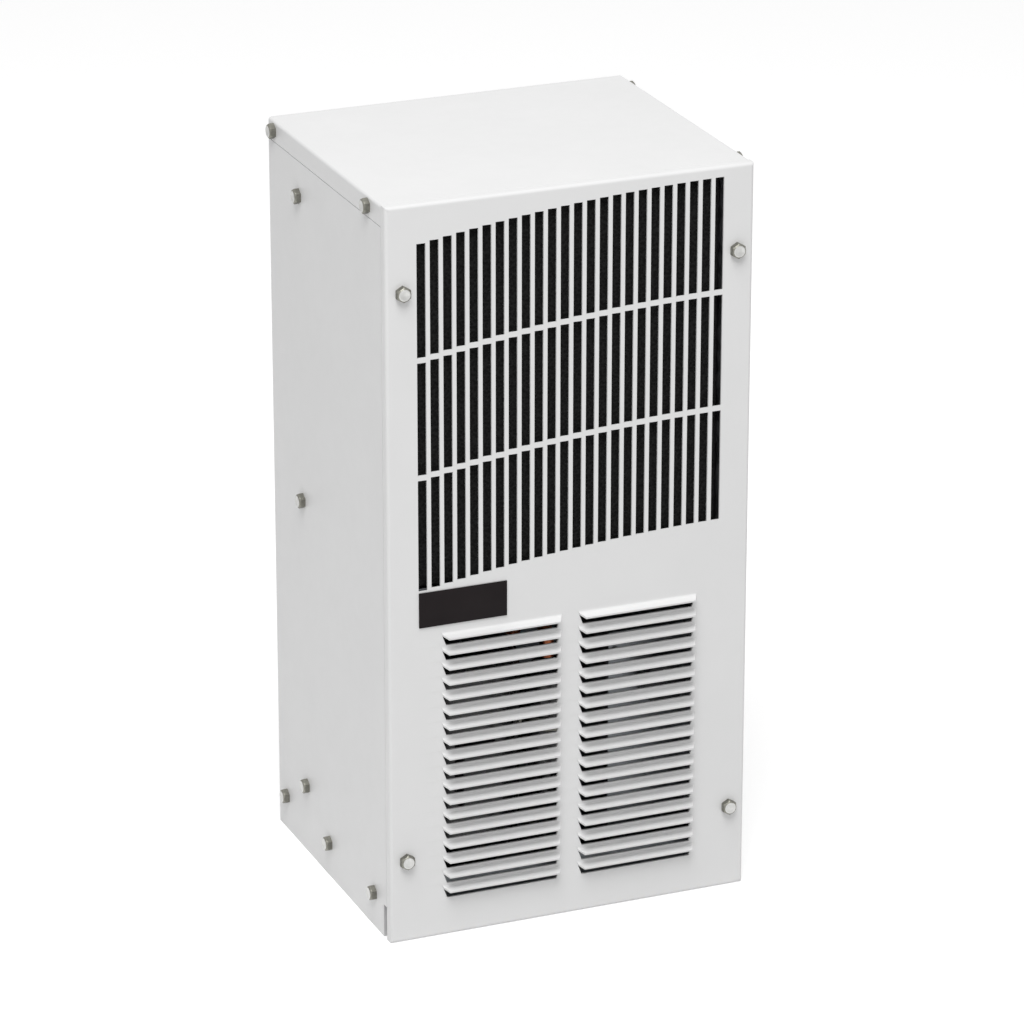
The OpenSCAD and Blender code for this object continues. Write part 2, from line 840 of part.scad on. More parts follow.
module top_cover() {
    color(paint) placed() difference() {
        translate([0, 0, cabinet_height]) rotate([-90, 0, 0]) difference() {
            translate([0, 0, front + rim_back]) linear_extrude(cabinet_depth - rim_back)
                pan_outline(side, top_flange, bend_radius);
            translate([0, sheet, front]) linear_extrude(cabinet_depth + over)
                pan_outline(side - sheet, top_flange, bend_radius - sheet);
        }
        for (edge = [-1, 1], place = [side_places[0], side_places[1]])
            rod_x([edge * side - nest, place[0], place[1]], hole_radius, 2 * nest);
    }
}

// Floor of the base pan; its flanges stand on it all round
module base_pan() {
    color(steel) placed() difference() {
        block([nest - side, front + pan_front, floor_height], [side - nest, front + pan_back, floor_top]);
        for (angle = feet_angles)
            rod_z(foot_place(angle, floor_height - over), bolt_radius + screw_clearance, sheet + 2 * over);
        rod_z([nipple_x, front + nipple_y, floor_height - over], nipple_shank + screw_clearance, sheet + 2 * over);
        rod_z([box_x, front + gland_y, floor_height - over], gland_radius + screw_clearance, sheet + 2 * over);
    }
}

module base_pan_side_flanges() {
    color(steel) placed() difference() {
        for (edge = [0, 1]) mirror([edge, 0, 0])
            block([nest - side, front + pan_front, floor_top], [nest_in - side, front + pan_back, pan_top]);
        for (edge = [-1, 1], place = [side_places[5], side_places[6], side_places[7]])
            rod_x([edge * side - nest_in - over, place[0], place[1]], hole_radius, 2 * (nest_in + over));
    }
}

module base_pan_end_flanges() {
    color(steel) placed() for (y = [pan_front, pan_back - sheet])
        block([nest_in - side, front + y, floor_top], [side - nest_in, front + y + sheet, pan_top]);
}

module rear_plate() {
    color(paint) placed() difference() {
        block([seam + sheet - side, -sheet, 0], [side - seam - sheet, 0, cabinet_height - nest]);
        rod_y([0, -sheet - over, inlet_height], inlet_radius - ring_wall, sheet + 2 * over);
        block([-outlet_width / 2, -sheet - over, outlet_low], [outlet_width / 2, over, outlet_low + outlet_tall]);
        for (edge = [-1, 1]) {
            for (height = mount_heights)
                rod_y(
                    [edge * mount_spacing_x / 2, -sheet - over, height],
                    mount_radius + mount_collar + screw_clearance,
                    sheet + 2 * over
                );
            for (height = rear_heights)
                rod_y([edge * (side - rear_screw_inset), -sheet - over, height], hole_radius, sheet + 2 * over);
        }
    }
}

module side_screws() {
    for (place = side_places)
        translate([-side, place[0], place[1]]) rotate([0, -90, 0]) hex_screw();
}

module left_side_screws() {
    color(steel) placed() side_screws();
}

module right_side_screws() {
    color(steel) placed() mirror([1, 0, 0]) side_screws();
}

module rear_plate_screws() {
    color(steel) placed()
        for (edge = [-1, 1], height = rear_heights)
            translate([edge * (side - rear_screw_inset), 0, height]) rotate([-90, 0, 0]) {
                cylinder(r1 = rear_screw_head_radius, r2 = screw_radius, h = rear_screw_head);
                translate([0, 0, -screw_length]) cylinder(r = screw_radius, h = screw_length);
            }
}

module mounting_nuts() {
    color(steel) placed()
        for (edge = [-1, 1], height = mount_heights)
            translate([edge * mount_spacing_x / 2, -sheet, height]) rotate([-90, 0, 0]) difference() {
                union() {
                    translate([0, 0, -mount_tall]) hexagon(mount_flats, mount_tall);
                    cylinder(r = mount_radius + mount_collar, h = sheet);
                }
                translate([0, 0, -mount_tall - over])
                    cylinder(r = mount_radius, h = mount_tall + sheet + 2 * over);
            }
}

module mounting_gasket() {
    edge = side - nest - gasket_inset;
    color(dark) placed() difference() {
        block([-edge, 0, gasket_inset], [edge, gasket_thickness, cabinet_height - nest - gasket_inset]);
        block(
            [gasket_width - edge, -over, gasket_inset + gasket_width],
            [edge - gasket_width, gasket_thickness + over, cabinet_height - nest - gasket_inset - gasket_width]
        );
    }
}

module filter_retainer() {
    half = grille_half + retainer_clear;
    low = grille_low - retainer_clear;
    high = grille_top + retainer_clear;
    start = front + sheet;
    filter_front = start + filter_setback;
    filter_end = filter_front + filter_thickness;
    end = filter_end + retainer_sheet;
    color(steel) placed() {
        difference() {
            block([-half - retainer_sheet, start, low - retainer_sheet], [half + retainer_sheet, end, high + retainer_sheet]);
            block([-half, start - over, low], [half, filter_end, high]);
            block([retainer_lip - half, start, low + retainer_lip], [half - retainer_lip, end + over, high - retainer_lip]);
        }
        block([-half, start, low - retainer_sheet - retainer_foot], [half, start + retainer_sheet, low - retainer_sheet]);
        block([-half, filter_front - retainer_sheet, low], [half, filter_front, low + retainer_front_lip]);
        block([-half, filter_front - retainer_sheet, high - retainer_front_lip], [half, filter_front, high]);
    }
}

module air_filter() {
    half = grille_half + retainer_clear - seam;
    start = front + sheet + filter_setback;
    color("black") placed()
        block(
            [-half, start, grille_low - retainer_clear + seam],
            [half, start + filter_thickness, grille_top + retainer_clear - seam]
        );
}

module line_holes(from_y, length) {
    rod_y([line_x, from_y, capillary_run], capillary_radius + line_clear, length);
    rod_y([line_x, from_y, suction_run], suction_radius + line_clear, length);
}

module partition() {
    low = pan_top + seam;
    high = tongue_low - seam;
    start = front + partition_y;
    color(steel) placed() difference() {
        union() {
            block([-inside, start, floor_top], [inside, start + sheet, cabinet_height - nest]);
            block([nest - side, start, low], [side - nest, start + sheet, high]);
            block([nest - side, start, low], [nest_in - side, start + partition_flange, high]);
            block([side - nest_in, start, low], [side - nest, start + partition_flange, high]);
        }
        for (edge = [-1, 1], place = [side_places[2], side_places[3], side_places[4]])
            rod_x([edge * side - nest_in - over, place[0], place[1]], hole_radius, 2 * (nest_in + over));
        line_holes(start - over, sheet + 2 * over);
    }
}

module partition_insulation() {
    start = front + insulation_y;
    color(dark) placed() difference() {
        block([-inside, start, floor_top], [inside, start + insulation, cabinet_height - nest]);
        rod_y([0, start - over, inlet_height], wheel_rotor + line_clear, insulation + 2 * over);
        line_holes(start - over, insulation + 2 * over);
    }
}

// Fins of a coil, with a hole for every tube
module fin_stack(count, low, high, places, radius) {
    half = coil_face - end_plate - fin_inset;
    fin_pitch = (2 * half - fin_thickness) / (count - 1);
    for (k = [0 : count - 1])
        translate([k * fin_pitch - half, 0, 0]) rotate([90, 0, 90]) linear_extrude(fin_thickness) difference() {
            translate(low) square(high - low);
            for (place = places) translate(place) circle(r = radius + tube_clear);
        }
}

// End plate of a coil with one flange bent outward
module coil_end(low, high, flange_y, places, radius) {
    difference() {
        union() {
            block([-coil_face, low[0], low[1]], [end_plate - coil_face, high[0], high[1]]);
            block([-coil_face - end_flange, flange_y, low[1]], [end_plate - coil_face, flange_y + end_plate, high[1]]);
        }
        for (place = places) rod_x([-coil_face - over, place[0], place[1]], radius + tube_clear, end_plate + 2 * over);
        children();
    }
}

module condenser_fins() {
    color(steel) placed()
        fin_stack(
            condenser_fin_count,
            [front + condenser_setback + fin_inset, shelf_top + fin_inset],
            [front + coil_back - fin_inset, coil_top - fin_inset],
            condenser_places,
            condenser_tube
        );
}

module condenser_end() {
    coil_end(
        [front + condenser_setback, shelf_top],
        [front + coil_back, coil_top],
        front + coil_back - end_plate,
        condenser_places,
        condenser_tube
    ) for (height = coil_screw_heights)
        rod_y([-coil_screw_x, front + condenser_setback, height], hole_radius, condenser_depth + over);
}

module condenser_left_end_plate() {
    color(steel) placed() condenser_end();
}

module condenser_right_end_plate() {
    color(steel) placed() mirror([1, 0, 0]) condenser_end();
}

module condenser_tubes() {
    bend = bend_of(condenser_pitch, condenser_row_pitch);
    color(copper) placed()
        tube_way(coil_way(condenser_places, coil_face + bend_start + bend), condenser_tube, bend);
}

module condenser_screws() {
    color(steel) placed()
        for (edge = [-1, 1], height = coil_screw_heights)
            translate([edge * coil_screw_x, front + coil_back + sheet, height]) rotate([-90, 0, 0]) {
                cylinder(r = screw_flats / 2, h = screw_head / 2);
                translate([0, 0, -screw_length]) cylinder(r = screw_radius, h = screw_length);
            }
}

module fan_shroud() {
    plate = front + coil_back;
    shelf_front = front + condenser_setback - fin_inset;
    color(steel) placed() difference() {
        union() {
            block([-inside, plate, shelf_height], [inside, plate + sheet, cabinet_height - shroud_drop]);
            block([-inside, shelf_front, shelf_height], [inside, plate, shelf_top]);
            block([-inside, shelf_front, coil_top + seam], [inside, plate, coil_top + nest]);
            for (edge = [0, 1])
                translate([edge * (2 * inside - sheet) - inside, plate, shelf_height])
                    cube([sheet, shroud_ring / 2, cabinet_height - shroud_drop - shelf_height]);
            rod_y([0, plate, fan_z], ring_inner + sheet, shroud_ring);
        }
        rod_y([0, plate - over, fan_z], ring_inner, shroud_ring + 2 * over);
        for (edge = [-1, 1], height = coil_screw_heights)
            rod_y([edge * coil_screw_x, plate - over, height], hole_radius, sheet + 2 * over);
        for (row = [coil_row_front, coil_row_back])
            rod_z([line_x, front + row, shelf_height - over], line_radius + line_clear, sheet + 2 * over);
    }
}

// Motor with its foot on the plane z = 0, its winding and its shaft
module motor(radius, depth) {
    cylinder(r = radius, h = motor_foot);
    difference() {
        cylinder(r = radius - rotor_wall - air_gap, h = motor_foot + depth - rotor_wall);
        translate([0, 0, motor_foot]) cylinder(r = boss_radius + air_gap, h = depth);
    }
    cylinder(r = shaft_radius, h = motor_foot + air_gap + depth - rotor_wall / 2 - seam);
}

// Rotor cup that turns on the shaft round the winding
module rotor(radius, depth) {
    base = motor_foot + air_gap;
    difference() {
        union() {
            difference() {
                translate([0, 0, base]) cylinder(r = radius, h = depth);
                translate([0, 0, base - over]) cylinder(r = radius - rotor_wall, h = depth - rotor_wall + over);
            }
            translate([0, 0, base + air_gap]) cylinder(r = boss_radius, h = depth - air_gap);
        }
        cylinder(r = shaft_radius + shaft_fit, h = base + depth - rotor_wall / 2);
    }
}

// Turns a motor's own axis to face the front
module fan_placed() {
    translate([0, front + fan_foot_y, fan_z]) rotate([90, 0, 0]) children();
}

module fan_bracket() {
    legs = [for (k = [0 : leg_count - 1]) (k + 1 / 2) * 360 / leg_count];
    color(steel) placed() fan_placed() {
        translate([0, 0, -bracket_sheet]) {
            cylinder(r = fan_hub_radius, h = bracket_sheet);
            for (angle = legs) rotate(angle)
                translate([0, -arm_width / 2, 0]) cube([leg_circle + leg_radius, arm_width, bracket_sheet]);
        }
        for (angle = legs) rotate(angle)
            translate([leg_circle, 0, -bracket_sheet])
                cylinder(r = leg_radius, h = fan_foot_y - coil_back - sheet + bracket_sheet);
    }
}

module fan_motor() {
    color(dark) placed() fan_placed() motor(fan_hub_radius, fan_hub_depth);
}

module fan_impeller() {
    root = fan_chord * fan_root_share;
    color(dark) placed() fan_placed() {
        rotor(fan_hub_radius, fan_hub_depth);
        difference() {
            intersection() {
                for (k = [0 : fan_blades - 1]) rotate(k * 360 / fan_blades)
                    translate([0, 0, motor_foot + air_gap + fan_hub_depth / 2]) rotate([fan_blade_angle, 0, 0])
                        translate([0, 0, -fan_blade_thickness / 2]) linear_extrude(fan_blade_thickness) polygon([
                            [0, -root / 2],
                            [fan_hub_radius, -root / 2],
                            [fan_radius, -fan_chord / 2],
                            [fan_radius, fan_chord / 2],
                            [fan_hub_radius, root / 2],
                            [0, root / 2],
                        ]);
                cylinder(r = fan_radius - seam, h = motor_foot + 2 * fan_hub_depth);
            }
            cylinder(r = fan_hub_radius - rotor_wall / 2, h = motor_foot + 2 * fan_hub_depth);
        }
    }
}

function foot_place(angle, height) = [
    -shell_x + feet_circle * cos(angle),
    front + shell_y + feet_circle * sin(angle),
    height,
];

module compressor() {
    belly = shell_radius - dome_height;
    color("black") placed() {
        translate([-shell_x, front + shell_y, shell_low]) rotate_extrude() intersection() {
            union() {
                translate([0, dome_height]) square([shell_radius, shell_height - 2 * dome_height]);
                square([belly, shell_height]);
                translate([belly, dome_height]) circle(r = dome_height);
                translate([belly, shell_height - dome_height]) circle(r = dome_height);
            }
            square([shell_radius + over, shell_height]);
        }
        rod_z([-shell_x, front + shell_y, shell_top - over], line_radius, stub_height + over);
        rod_x([suction_stub_x - 2 * accumulator_gap, front + shell_y, suction_stub_z], suction_radius, 2 * accumulator_gap);
        difference() {
            translate([-shell_x, front + shell_y, foot_low]) linear_extrude(foot_plate) {
                circle(r = shell_radius - dome_height / 2);
                for (angle = feet_angles) rotate(angle) {
                    translate([0, -foot_end]) square([feet_circle, 2 * foot_end]);
                    translate([feet_circle, 0]) circle(r = foot_end);
                }
            }
            for (angle = feet_angles)
                rod_z(foot_place(angle, foot_low - over), bolt_radius + screw_clearance, foot_plate + 2 * over);
        }
    }
}

module compressor_terminal_cover() {
    x = -shell_x;
    y = front + shell_y;
    color("black") placed() difference() {
        block(
            [x - cover_wide / 2, y - shell_radius - cover_deep, cover_low],
            [x + cover_wide / 2, y - shell_radius / 2, cover_low + cover_tall]
        );
        rod_z([x, y, cover_low - over], shell_radius + seam, cover_tall + 2 * over);
    }
}

module compressor_grommets() {
    color("black") placed() for (angle = feet_angles) difference() {
        rod_z(foot_place(angle, floor_top), grommet_radius, grommet_height);
        rod_z(foot_place(angle, floor_top - over), bolt_radius + screw_clearance, grommet_height + 2 * over);
    }
}

module compressor_bolts() {
    color(steel) placed() for (angle = feet_angles) {
        translate(foot_place(angle, floor_height)) rotate([180, 0, 0]) hex_head(bolt_flats, bolt_head);
        rod_z(foot_place(angle, floor_height), bolt_radius, bolt_length + sheet);
    }
}

module compressor_nuts() {
    color(steel) placed() for (angle = feet_angles)
        translate(foot_place(angle, shell_low)) difference() {
            hexagon(bolt_flats, nut_height);
            translate([0, 0, -over]) cylinder(r = bolt_radius + screw_clearance / 2, h = nut_height + 2 * over);
        }
}

module suction_accumulator() {
    y = front + shell_y;
    neck = suction_radius + seam;
    color("black") placed() {
        translate([accumulator_x, y, accumulator_low]) rotate_extrude() polygon([
            [0, 0],
            [neck, 0],
            [accumulator_radius, accumulator_radius - neck],
            [accumulator_radius, accumulator_height - accumulator_radius + neck],
            [neck, accumulator_height],
            [0, accumulator_height],
        ]);
        tube_way(
            [[accumulator_x, y, accumulator_low], [accumulator_x, y, suction_stub_z], [suction_stub_x, y, suction_stub_z]],
            suction_radius,
            line_bend
        );
    }
}

module accumulator_strap() {
    y = front + shell_y;
    low = (accumulator_low + accumulator_top - strap_height) / 2;
    color(steel) placed() difference() {
        union() {
            rod_z([accumulator_x, y, low], accumulator_radius + seam + strap_wall, strap_height);
            block([-shell_x, y - strap_height / 2, low], [accumulator_x, y + strap_height / 2, low + strap_height]);
        }
        rod_z([accumulator_x, y, low - over], accumulator_radius + seam, strap_height + 2 * over);
        rod_z([-shell_x, y, low - over], shell_radius + seam, strap_height + 2 * over);
    }
}

module discharge_line() {
    start = shell_top + stub_height;
    y = front + shell_y;
    row = front + coil_row_back;
    color(copper) placed() tube_way([
        [-shell_x, y, start],
        [-shell_x, y, start + line_rise],
        [line_x, y, start + line_rise],
        [line_x, row, start + line_rise],
        [line_x, row, port_z],
        [-port_x, row, port_z],
    ], line_radius, line_bend);
}

module liquid_line() {
    row = front + coil_row_front;
    color(copper) placed() tube_way([
        [line_x, row, drier_top],
        [line_x, row, port_z],
        [-port_x, row, port_z],
    ], line_radius, line_bend);
}

module filter_drier() {
    color(copper) placed() translate([line_x, front + coil_row_front, drier_low]) rotate_extrude() polygon([
        [0, 0],
        [line_radius, 0],
        [drier_radius, drier_cone],
        [drier_radius, drier_cone + drier_length],
        [line_radius, drier_length + 2 * drier_cone],
        [0, drier_length + 2 * drier_cone],
    ]);
}

module capillary_tube() {
    row = front + coil_row_front;
    far = front + evaporator_b;
    color(copper) placed() tube_way([
        [line_x, row, drier_low],
        [line_x, row, capillary_run],
        [line_x, far, capillary_run],
        [line_x, far, evaporator_first],
        [-port_x, far, evaporator_first],
    ], capillary_radius, line_bend);
}

module suction_line() {
    near = front + evaporator_a;
    back_y = front + suction_back_y;
    y = front + shell_y;
    color(copper) placed() tube_way([
        [-port_x, near, evaporator_first],
        [line_x, near, evaporator_first],
        [line_x, near, suction_run],
        [line_x, back_y, suction_run],
        [accumulator_x, back_y, suction_run],
        [accumulator_x, back_y, suction_top],
        [accumulator_x, y, suction_top],
        [accumulator_x, y, accumulator_top],
    ], suction_radius, line_bend);
}

module evaporator_fins() {
    color(steel) placed()
        fin_stack(
            evaporator_fin_count,
            [front + evaporator_front, evaporator_low],
            [front + evaporator_front + evaporator_depth, evaporator_low + evaporator_height],
            evaporator_places,
            evaporator_tube
        );
}

module evaporator_end() {
    coil_end(
        [front + rear_room, evaporator_low],
        [front + evaporator_front + evaporator_depth, evaporator_low + evaporator_height],
        front + rear_room,
        evaporator_places,
        evaporator_tube
    );
}

module evaporator_left_end_plate() {
    color(steel) placed() evaporator_end();
}

module evaporator_right_end_plate() {
    color(steel) placed() mirror([1, 0, 0]) evaporator_end();
}

module evaporator_tubes() {
    bend = evaporator_pitch / 2;
    color(copper) placed()
        tube_way(coil_way(evaporator_places, coil_face + bend_start + bend), evaporator_tube, bend);
}

// Turns a motor's own axis to face the back
module blower_placed() {
    translate([0, front + insulation_y, inlet_height]) rotate([-90, 0, 0]) children();
}

module blower_motor() {
    color(dark) placed() blower_placed() motor(wheel_rotor, wheel_rotor_depth);
}

module blower_wheel() {
    start = wheel_mouth;
    blade = sqrt((wheel_radius - wheel_wall) ^ 2 - (start * sin(wheel_blade_angle)) ^ 2) - start * cos(wheel_blade_angle);
    color(dark) placed() blower_placed() {
        rotor(wheel_rotor, wheel_rotor_depth);
        translate([0, 0, wheel_back]) difference() {
            cylinder(r = wheel_radius, h = wheel_wall);
            translate([0, 0, -over]) cylinder(r = wheel_rotor - rotor_wall / 2, h = wheel_wall + 2 * over);
        }
        for (k = [0 : wheel_blades - 1]) rotate(k * 360 / wheel_blades)
            translate([start, 0, wheel_back + wheel_wall / 2]) rotate(wheel_blade_angle)
                translate([0, -wheel_wall / 2, 0]) cube([blade, wheel_wall, wheel_depth + wheel_wall]);
        translate([0, 0, wheel_front]) difference() {
            cylinder(r = wheel_radius, h = wheel_wall);
            translate([0, 0, -over]) cylinder(r = wheel_mouth, h = wheel_wall + 2 * over);
        }
    }
}

module inlet_ring() {
    start = front + insulation_y + wheel_front - ring_reach;
    color(steel) placed() difference() {
        union() {
            rod_y([0, start, inlet_height], inlet_radius, -sheet - start);
            rod_y([0, -sheet - ring_wall, inlet_height], inlet_radius + ring_flange, ring_wall);
        }
        rod_y([0, start - over, inlet_height], inlet_radius - ring_wall, -start + over);
    }
}

// Floor of the drain pan; its walls stand on it all round
module drain_pan() {
    color("white") placed() difference() {
        block([-drain_half, front + drain_front, floor_top], [drain_half, front + drain_back, floor_top + drain_wall]);
        rod_z([nipple_x, front + nipple_y, floor_top - over], nipple_shank + screw_clearance, drain_wall + 2 * over);
    }
}

module drain_pan_side_walls() {
    low = floor_top + drain_wall;
    color("white") placed() for (edge = [0, 1]) mirror([edge, 0, 0])
        block([-drain_half, front + drain_front, low], [drain_wall - drain_half, front + drain_back, floor_top + drain_height]);
}

module drain_pan_end_walls() {
    half = drain_half - drain_wall;
    color("white") placed() for (y = [drain_front, drain_back - drain_wall])
        block([-half, front + y, floor_top + drain_wall], [half, front + y + drain_wall, floor_top + drain_height]);
}

module drain_nipple() {
    low = floor_height - nipple_drop;
    seat = floor_top + drain_wall;
    color("white") placed() difference() {
        union() {
            rod_z([nipple_x, front + nipple_y, low], nipple_radius, seat - low);
            rod_z(
                [nipple_x, front + nipple_y, floor_height - nipple_collar],
                nipple_shank,
                seat - floor_height + nipple_collar
            );
            rod_z([nipple_x, front + nipple_y, seat], nipple_flange_radius, nipple_flange);
        }
        rod_z([nipple_x, front + nipple_y, low - over], nipple_bore, seat + nipple_flange - low + 2 * over);
    }
}

module electrical_box() {
    low = [box_left, front + box_setback, floor_top];
    high = [box_right, front + box_back, box_top];
    wall = [box_sheet, 0, box_sheet];
    color(steel) placed() difference() {
        union() {
            difference() {
                block(low, high);
                block(low + wall - [0, over, 0], high - [box_sheet, box_sheet, box_sheet]);
            }
            for (x = [box_left, box_right - box_lip])
                block([x, front + box_setback, floor_top], [x + box_lip, front + box_setback + box_sheet, box_top]);
        }
        box_screw_holes();
        rod_z([box_x, front + gland_y, floor_top - over], gland_radius + screw_clearance, box_sheet + 2 * over);
    }
}

module box_screw_holes() {
    for (place = box_screw_places)
        rod_y(
            [place[0], front + box_setback - box_sheet - over, place[1]],
            box_screw_radius + screw_clearance,
            2 * (box_sheet + over)
        );
}

module electrical_box_cover() {
    color(steel) placed() difference() {
        block(
            [box_left, front + box_setback - box_sheet, floor_top],
            [box_right, front + box_setback, box_top]
        );
        box_screw_holes();
        rod_y(
            [box_x, front + box_setback - box_sheet - over, thermostat_z],
            shaft_radius + line_clear,
            box_sheet + 2 * over
        );
    }
}

module box_cover_screws() {
    color(steel) placed()
        for (place = box_screw_places)
            translate([place[0], front + box_setback - box_sheet, place[1]]) rotate([90, 0, 0]) {
                cylinder(r = box_screw_head_radius, h = box_screw_head);
                translate([0, 0, -box_screw_length]) cylinder(r = box_screw_radius, h = box_screw_length);
            }
}

module terminal_block() {
    back_y = front + box_back - box_sheet;
    low = floor_top + terminal_rise;
    cell = (terminal_width - terminal_wall) / terminal_count;
    color("white") placed() difference() {
        block(
            [box_x - terminal_width / 2, back_y - terminal_depth, low],
            [box_x + terminal_width / 2, back_y, low + terminal_height]
        );
        for (k = [0 : terminal_count - 1])
            translate([
                box_x - terminal_width / 2 + terminal_wall + k * cell,
                back_y - terminal_depth - over,
                low + terminal_wall,
            ]) cube([cell - terminal_wall, terminal_depth / 2 + over, terminal_height - 2 * terminal_wall]);
    }
}

module run_capacitor() {
    color(steel) placed() {
        rod_z([box_x, front + capacitor_y, floor_top + box_sheet], capacitor_radius, capacitor_height);
        for (edge = [-1, 1])
            translate([
                box_x + edge * capacitor_radius / 2 - terminal_wall,
                front + capacitor_y,
                floor_top + box_sheet + capacitor_height,
            ]) cube([2 * terminal_wall, terminal_wall, capacitor_radius / 2]);
    }
}

module thermostat() {
    start = front + box_setback;
    color(dark) placed() {
        block(
            [box_x - thermostat_width / 2, start, thermostat_z - thermostat_height / 2],
            [box_x + thermostat_width / 2, start + thermostat_depth, thermostat_z + thermostat_height / 2]
        );
        rod_y([box_x, start - thermostat_shaft, thermostat_z], shaft_radius, thermostat_shaft);
    }
}

module thermostat_knob() {
    end = front + box_setback - box_sheet - knob_gap;
    color("black") placed() difference() {
        union() {
            rod_y([box_x, end - knob_depth, thermostat_z], knob_radius, knob_depth);
            block(
                [box_x - pointer_width / 2, end - knob_depth - pointer_rise, thermostat_z],
                [box_x + pointer_width / 2, end - knob_depth + pointer_rise, thermostat_z + knob_radius - pointer_width]
            );
        }
        rod_y([box_x, end - thermostat_shaft, thermostat_z], shaft_radius + shaft_fit, thermostat_shaft + over);
        for (k = [0 : knob_grip - 1]) {
            angle = (k + 1 / 2) * 360 / knob_grip;
            rod_y(
                [
                    box_x + (knob_radius + knob_grip_radius / 2) * sin(angle),
                    end - knob_depth - over,
                    thermostat_z + (knob_radius + knob_grip_radius / 2) * cos(angle),
                ],
                knob_grip_radius,
                knob_depth + 2 * over
            );
        }
    }
}

module cable_gland() {
    tall = gland_drop + sheet + box_sheet + gland_nut + seam;
    color("black") placed() translate([box_x, front + gland_y, floor_height - gland_drop]) difference() {
        union() {
            hexagon(gland_flats, gland_drop);
            cylinder(r = gland_radius, h = tall);
        }
        translate([0, 0, -over]) cylinder(r = gland_bore, h = tall + 2 * over);
    }
}

module gland_nut() {
    color("black") placed() translate([box_x, front + gland_y, floor_top + box_sheet]) difference() {
        hexagon(gland_flats, gland_nut);
        translate([0, 0, -over]) cylinder(r = gland_radius + screw_clearance / 2, h = gland_nut + 2 * over);
    }
}

base_pan();
base_pan_side_flanges();
base_pan_end_flanges();
left_side_panel();
right_side_panel();
rear_plate();
top_cover();
front_cover();
nameplate();
cover_screws();
left_side_screws();
right_side_screws();
rear_plate_screws();
mounting_nuts();
mounting_gasket();
filter_retainer();
air_filter();
partition();
partition_insulation();
condenser_fins();
condenser_left_end_plate();
condenser_right_end_plate();
condenser_tubes();
condenser_screws();
fan_shroud();
fan_bracket();
fan_motor();
fan_impeller();
compressor();
compressor_terminal_cover();
compressor_grommets();
compressor_bolts();
compressor_nuts();
suction_accumulator();
accumulator_strap();
discharge_line();
liquid_line();
filter_drier();
capillary_tube();
suction_line();
evaporator_fins();
evaporator_left_end_plate();
evaporator_right_end_plate();
evaporator_tubes();
blower_motor();
blower_wheel();
inlet_ring();
drain_pan();
drain_pan_side_walls();
drain_pan_end_walls();
drain_nipple();
electrical_box();
electrical_box_cover();
box_cover_screws();
terminal_block();
run_capacitor();
thermostat();
thermostat_knob();
cable_gland();
gland_nut();
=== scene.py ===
# %% [markdown]
# An enclosure cooling unit, dressed for rendering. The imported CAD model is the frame: its nodes say where
# everything is, in metres, with X to the right, Y to the back and Z up. The origin lies on the back of the
# cabinet, in the middle of its four mounting nuts. Every later cell either makes one family of pieces or
# one finish, and says first what the real thing is.

# %% Load the frame
import json
import math

import bmesh
import bpy
import numpy as np
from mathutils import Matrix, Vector


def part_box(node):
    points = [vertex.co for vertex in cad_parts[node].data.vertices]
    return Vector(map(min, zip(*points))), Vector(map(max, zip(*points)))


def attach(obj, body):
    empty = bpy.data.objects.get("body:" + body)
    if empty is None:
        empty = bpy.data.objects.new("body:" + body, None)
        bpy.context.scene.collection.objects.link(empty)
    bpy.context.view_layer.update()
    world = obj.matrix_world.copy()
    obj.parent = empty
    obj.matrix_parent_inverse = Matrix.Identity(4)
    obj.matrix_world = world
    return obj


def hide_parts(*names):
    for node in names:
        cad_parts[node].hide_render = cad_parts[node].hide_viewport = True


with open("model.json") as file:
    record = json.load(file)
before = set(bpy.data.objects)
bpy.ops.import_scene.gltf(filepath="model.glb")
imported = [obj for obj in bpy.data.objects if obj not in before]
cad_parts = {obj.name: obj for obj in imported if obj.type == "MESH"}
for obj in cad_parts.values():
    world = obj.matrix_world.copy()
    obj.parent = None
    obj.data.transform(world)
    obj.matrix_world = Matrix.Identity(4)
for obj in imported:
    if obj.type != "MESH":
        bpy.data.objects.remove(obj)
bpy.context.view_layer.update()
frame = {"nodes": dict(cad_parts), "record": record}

# %% [markdown]
# The cabinet is drawn in millimetres, as sheet metal is. Its sizes come from the frame: the front cover's
# box gives the width and the height, and the back of the nameplate lies on the front face. Heights on the
# front are measured up from the resting edges, so a place at height h has z = FOOT + h.

# %% The cabinet's own measures
MM = 0.001


def corners_of(node):
    """Low and high corner of a CAD node's box, in millimetres to the nearest hundredth."""
    return [np.array([round(float(v) / MM, 2) for v in corner]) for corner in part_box(node)]


cover_low, cover_high = corners_of("front_cover")
plate_low, plate_high = corners_of("nameplate")
SIDE, FOOT, CROWN, FRONT = [float(v) for v in (cover_high[0], cover_low[2], cover_high[2], plate_high[1])]
SHEET, BEND = 1.2, 2.0
print("cabinet", 2 * SIDE, "x", -FRONT, "x", CROWN - FOOT, "mm, sheet", SHEET, "mm")

# %% [markdown]
# A surface is a grid of points: rows run along one parameter and columns along the other. Each cell of the
# grid is one four-sided face. A ring such as a lathe shape closes on itself, so its last column joins its
# first. When the parts of a piece are joined, points less than WELD metres apart become one, and edges
# shorter than SLIVER are dropped.

# %% Grids of points and their faces
WELD, SLIVER = 1e-6, 1e-7


def cells(rows, columns, ring=False, loop=False):
    """Faces of a grid: point (i, j) joins (i, j+1), (i+1, j+1) and (i+1, j). Ring closes the columns on
    themselves, loop the rows."""
    i, j = np.meshgrid(np.arange(rows - (not loop)), np.arange(columns - (not ring)), indexing="ij")
    right, up = (j + 1) % columns, (i + 1) % rows
    corners = [i * columns + j, i * columns + right, up * columns + right, up * columns + j]
    return np.stack(corners, axis=-1).reshape(-1, 4)


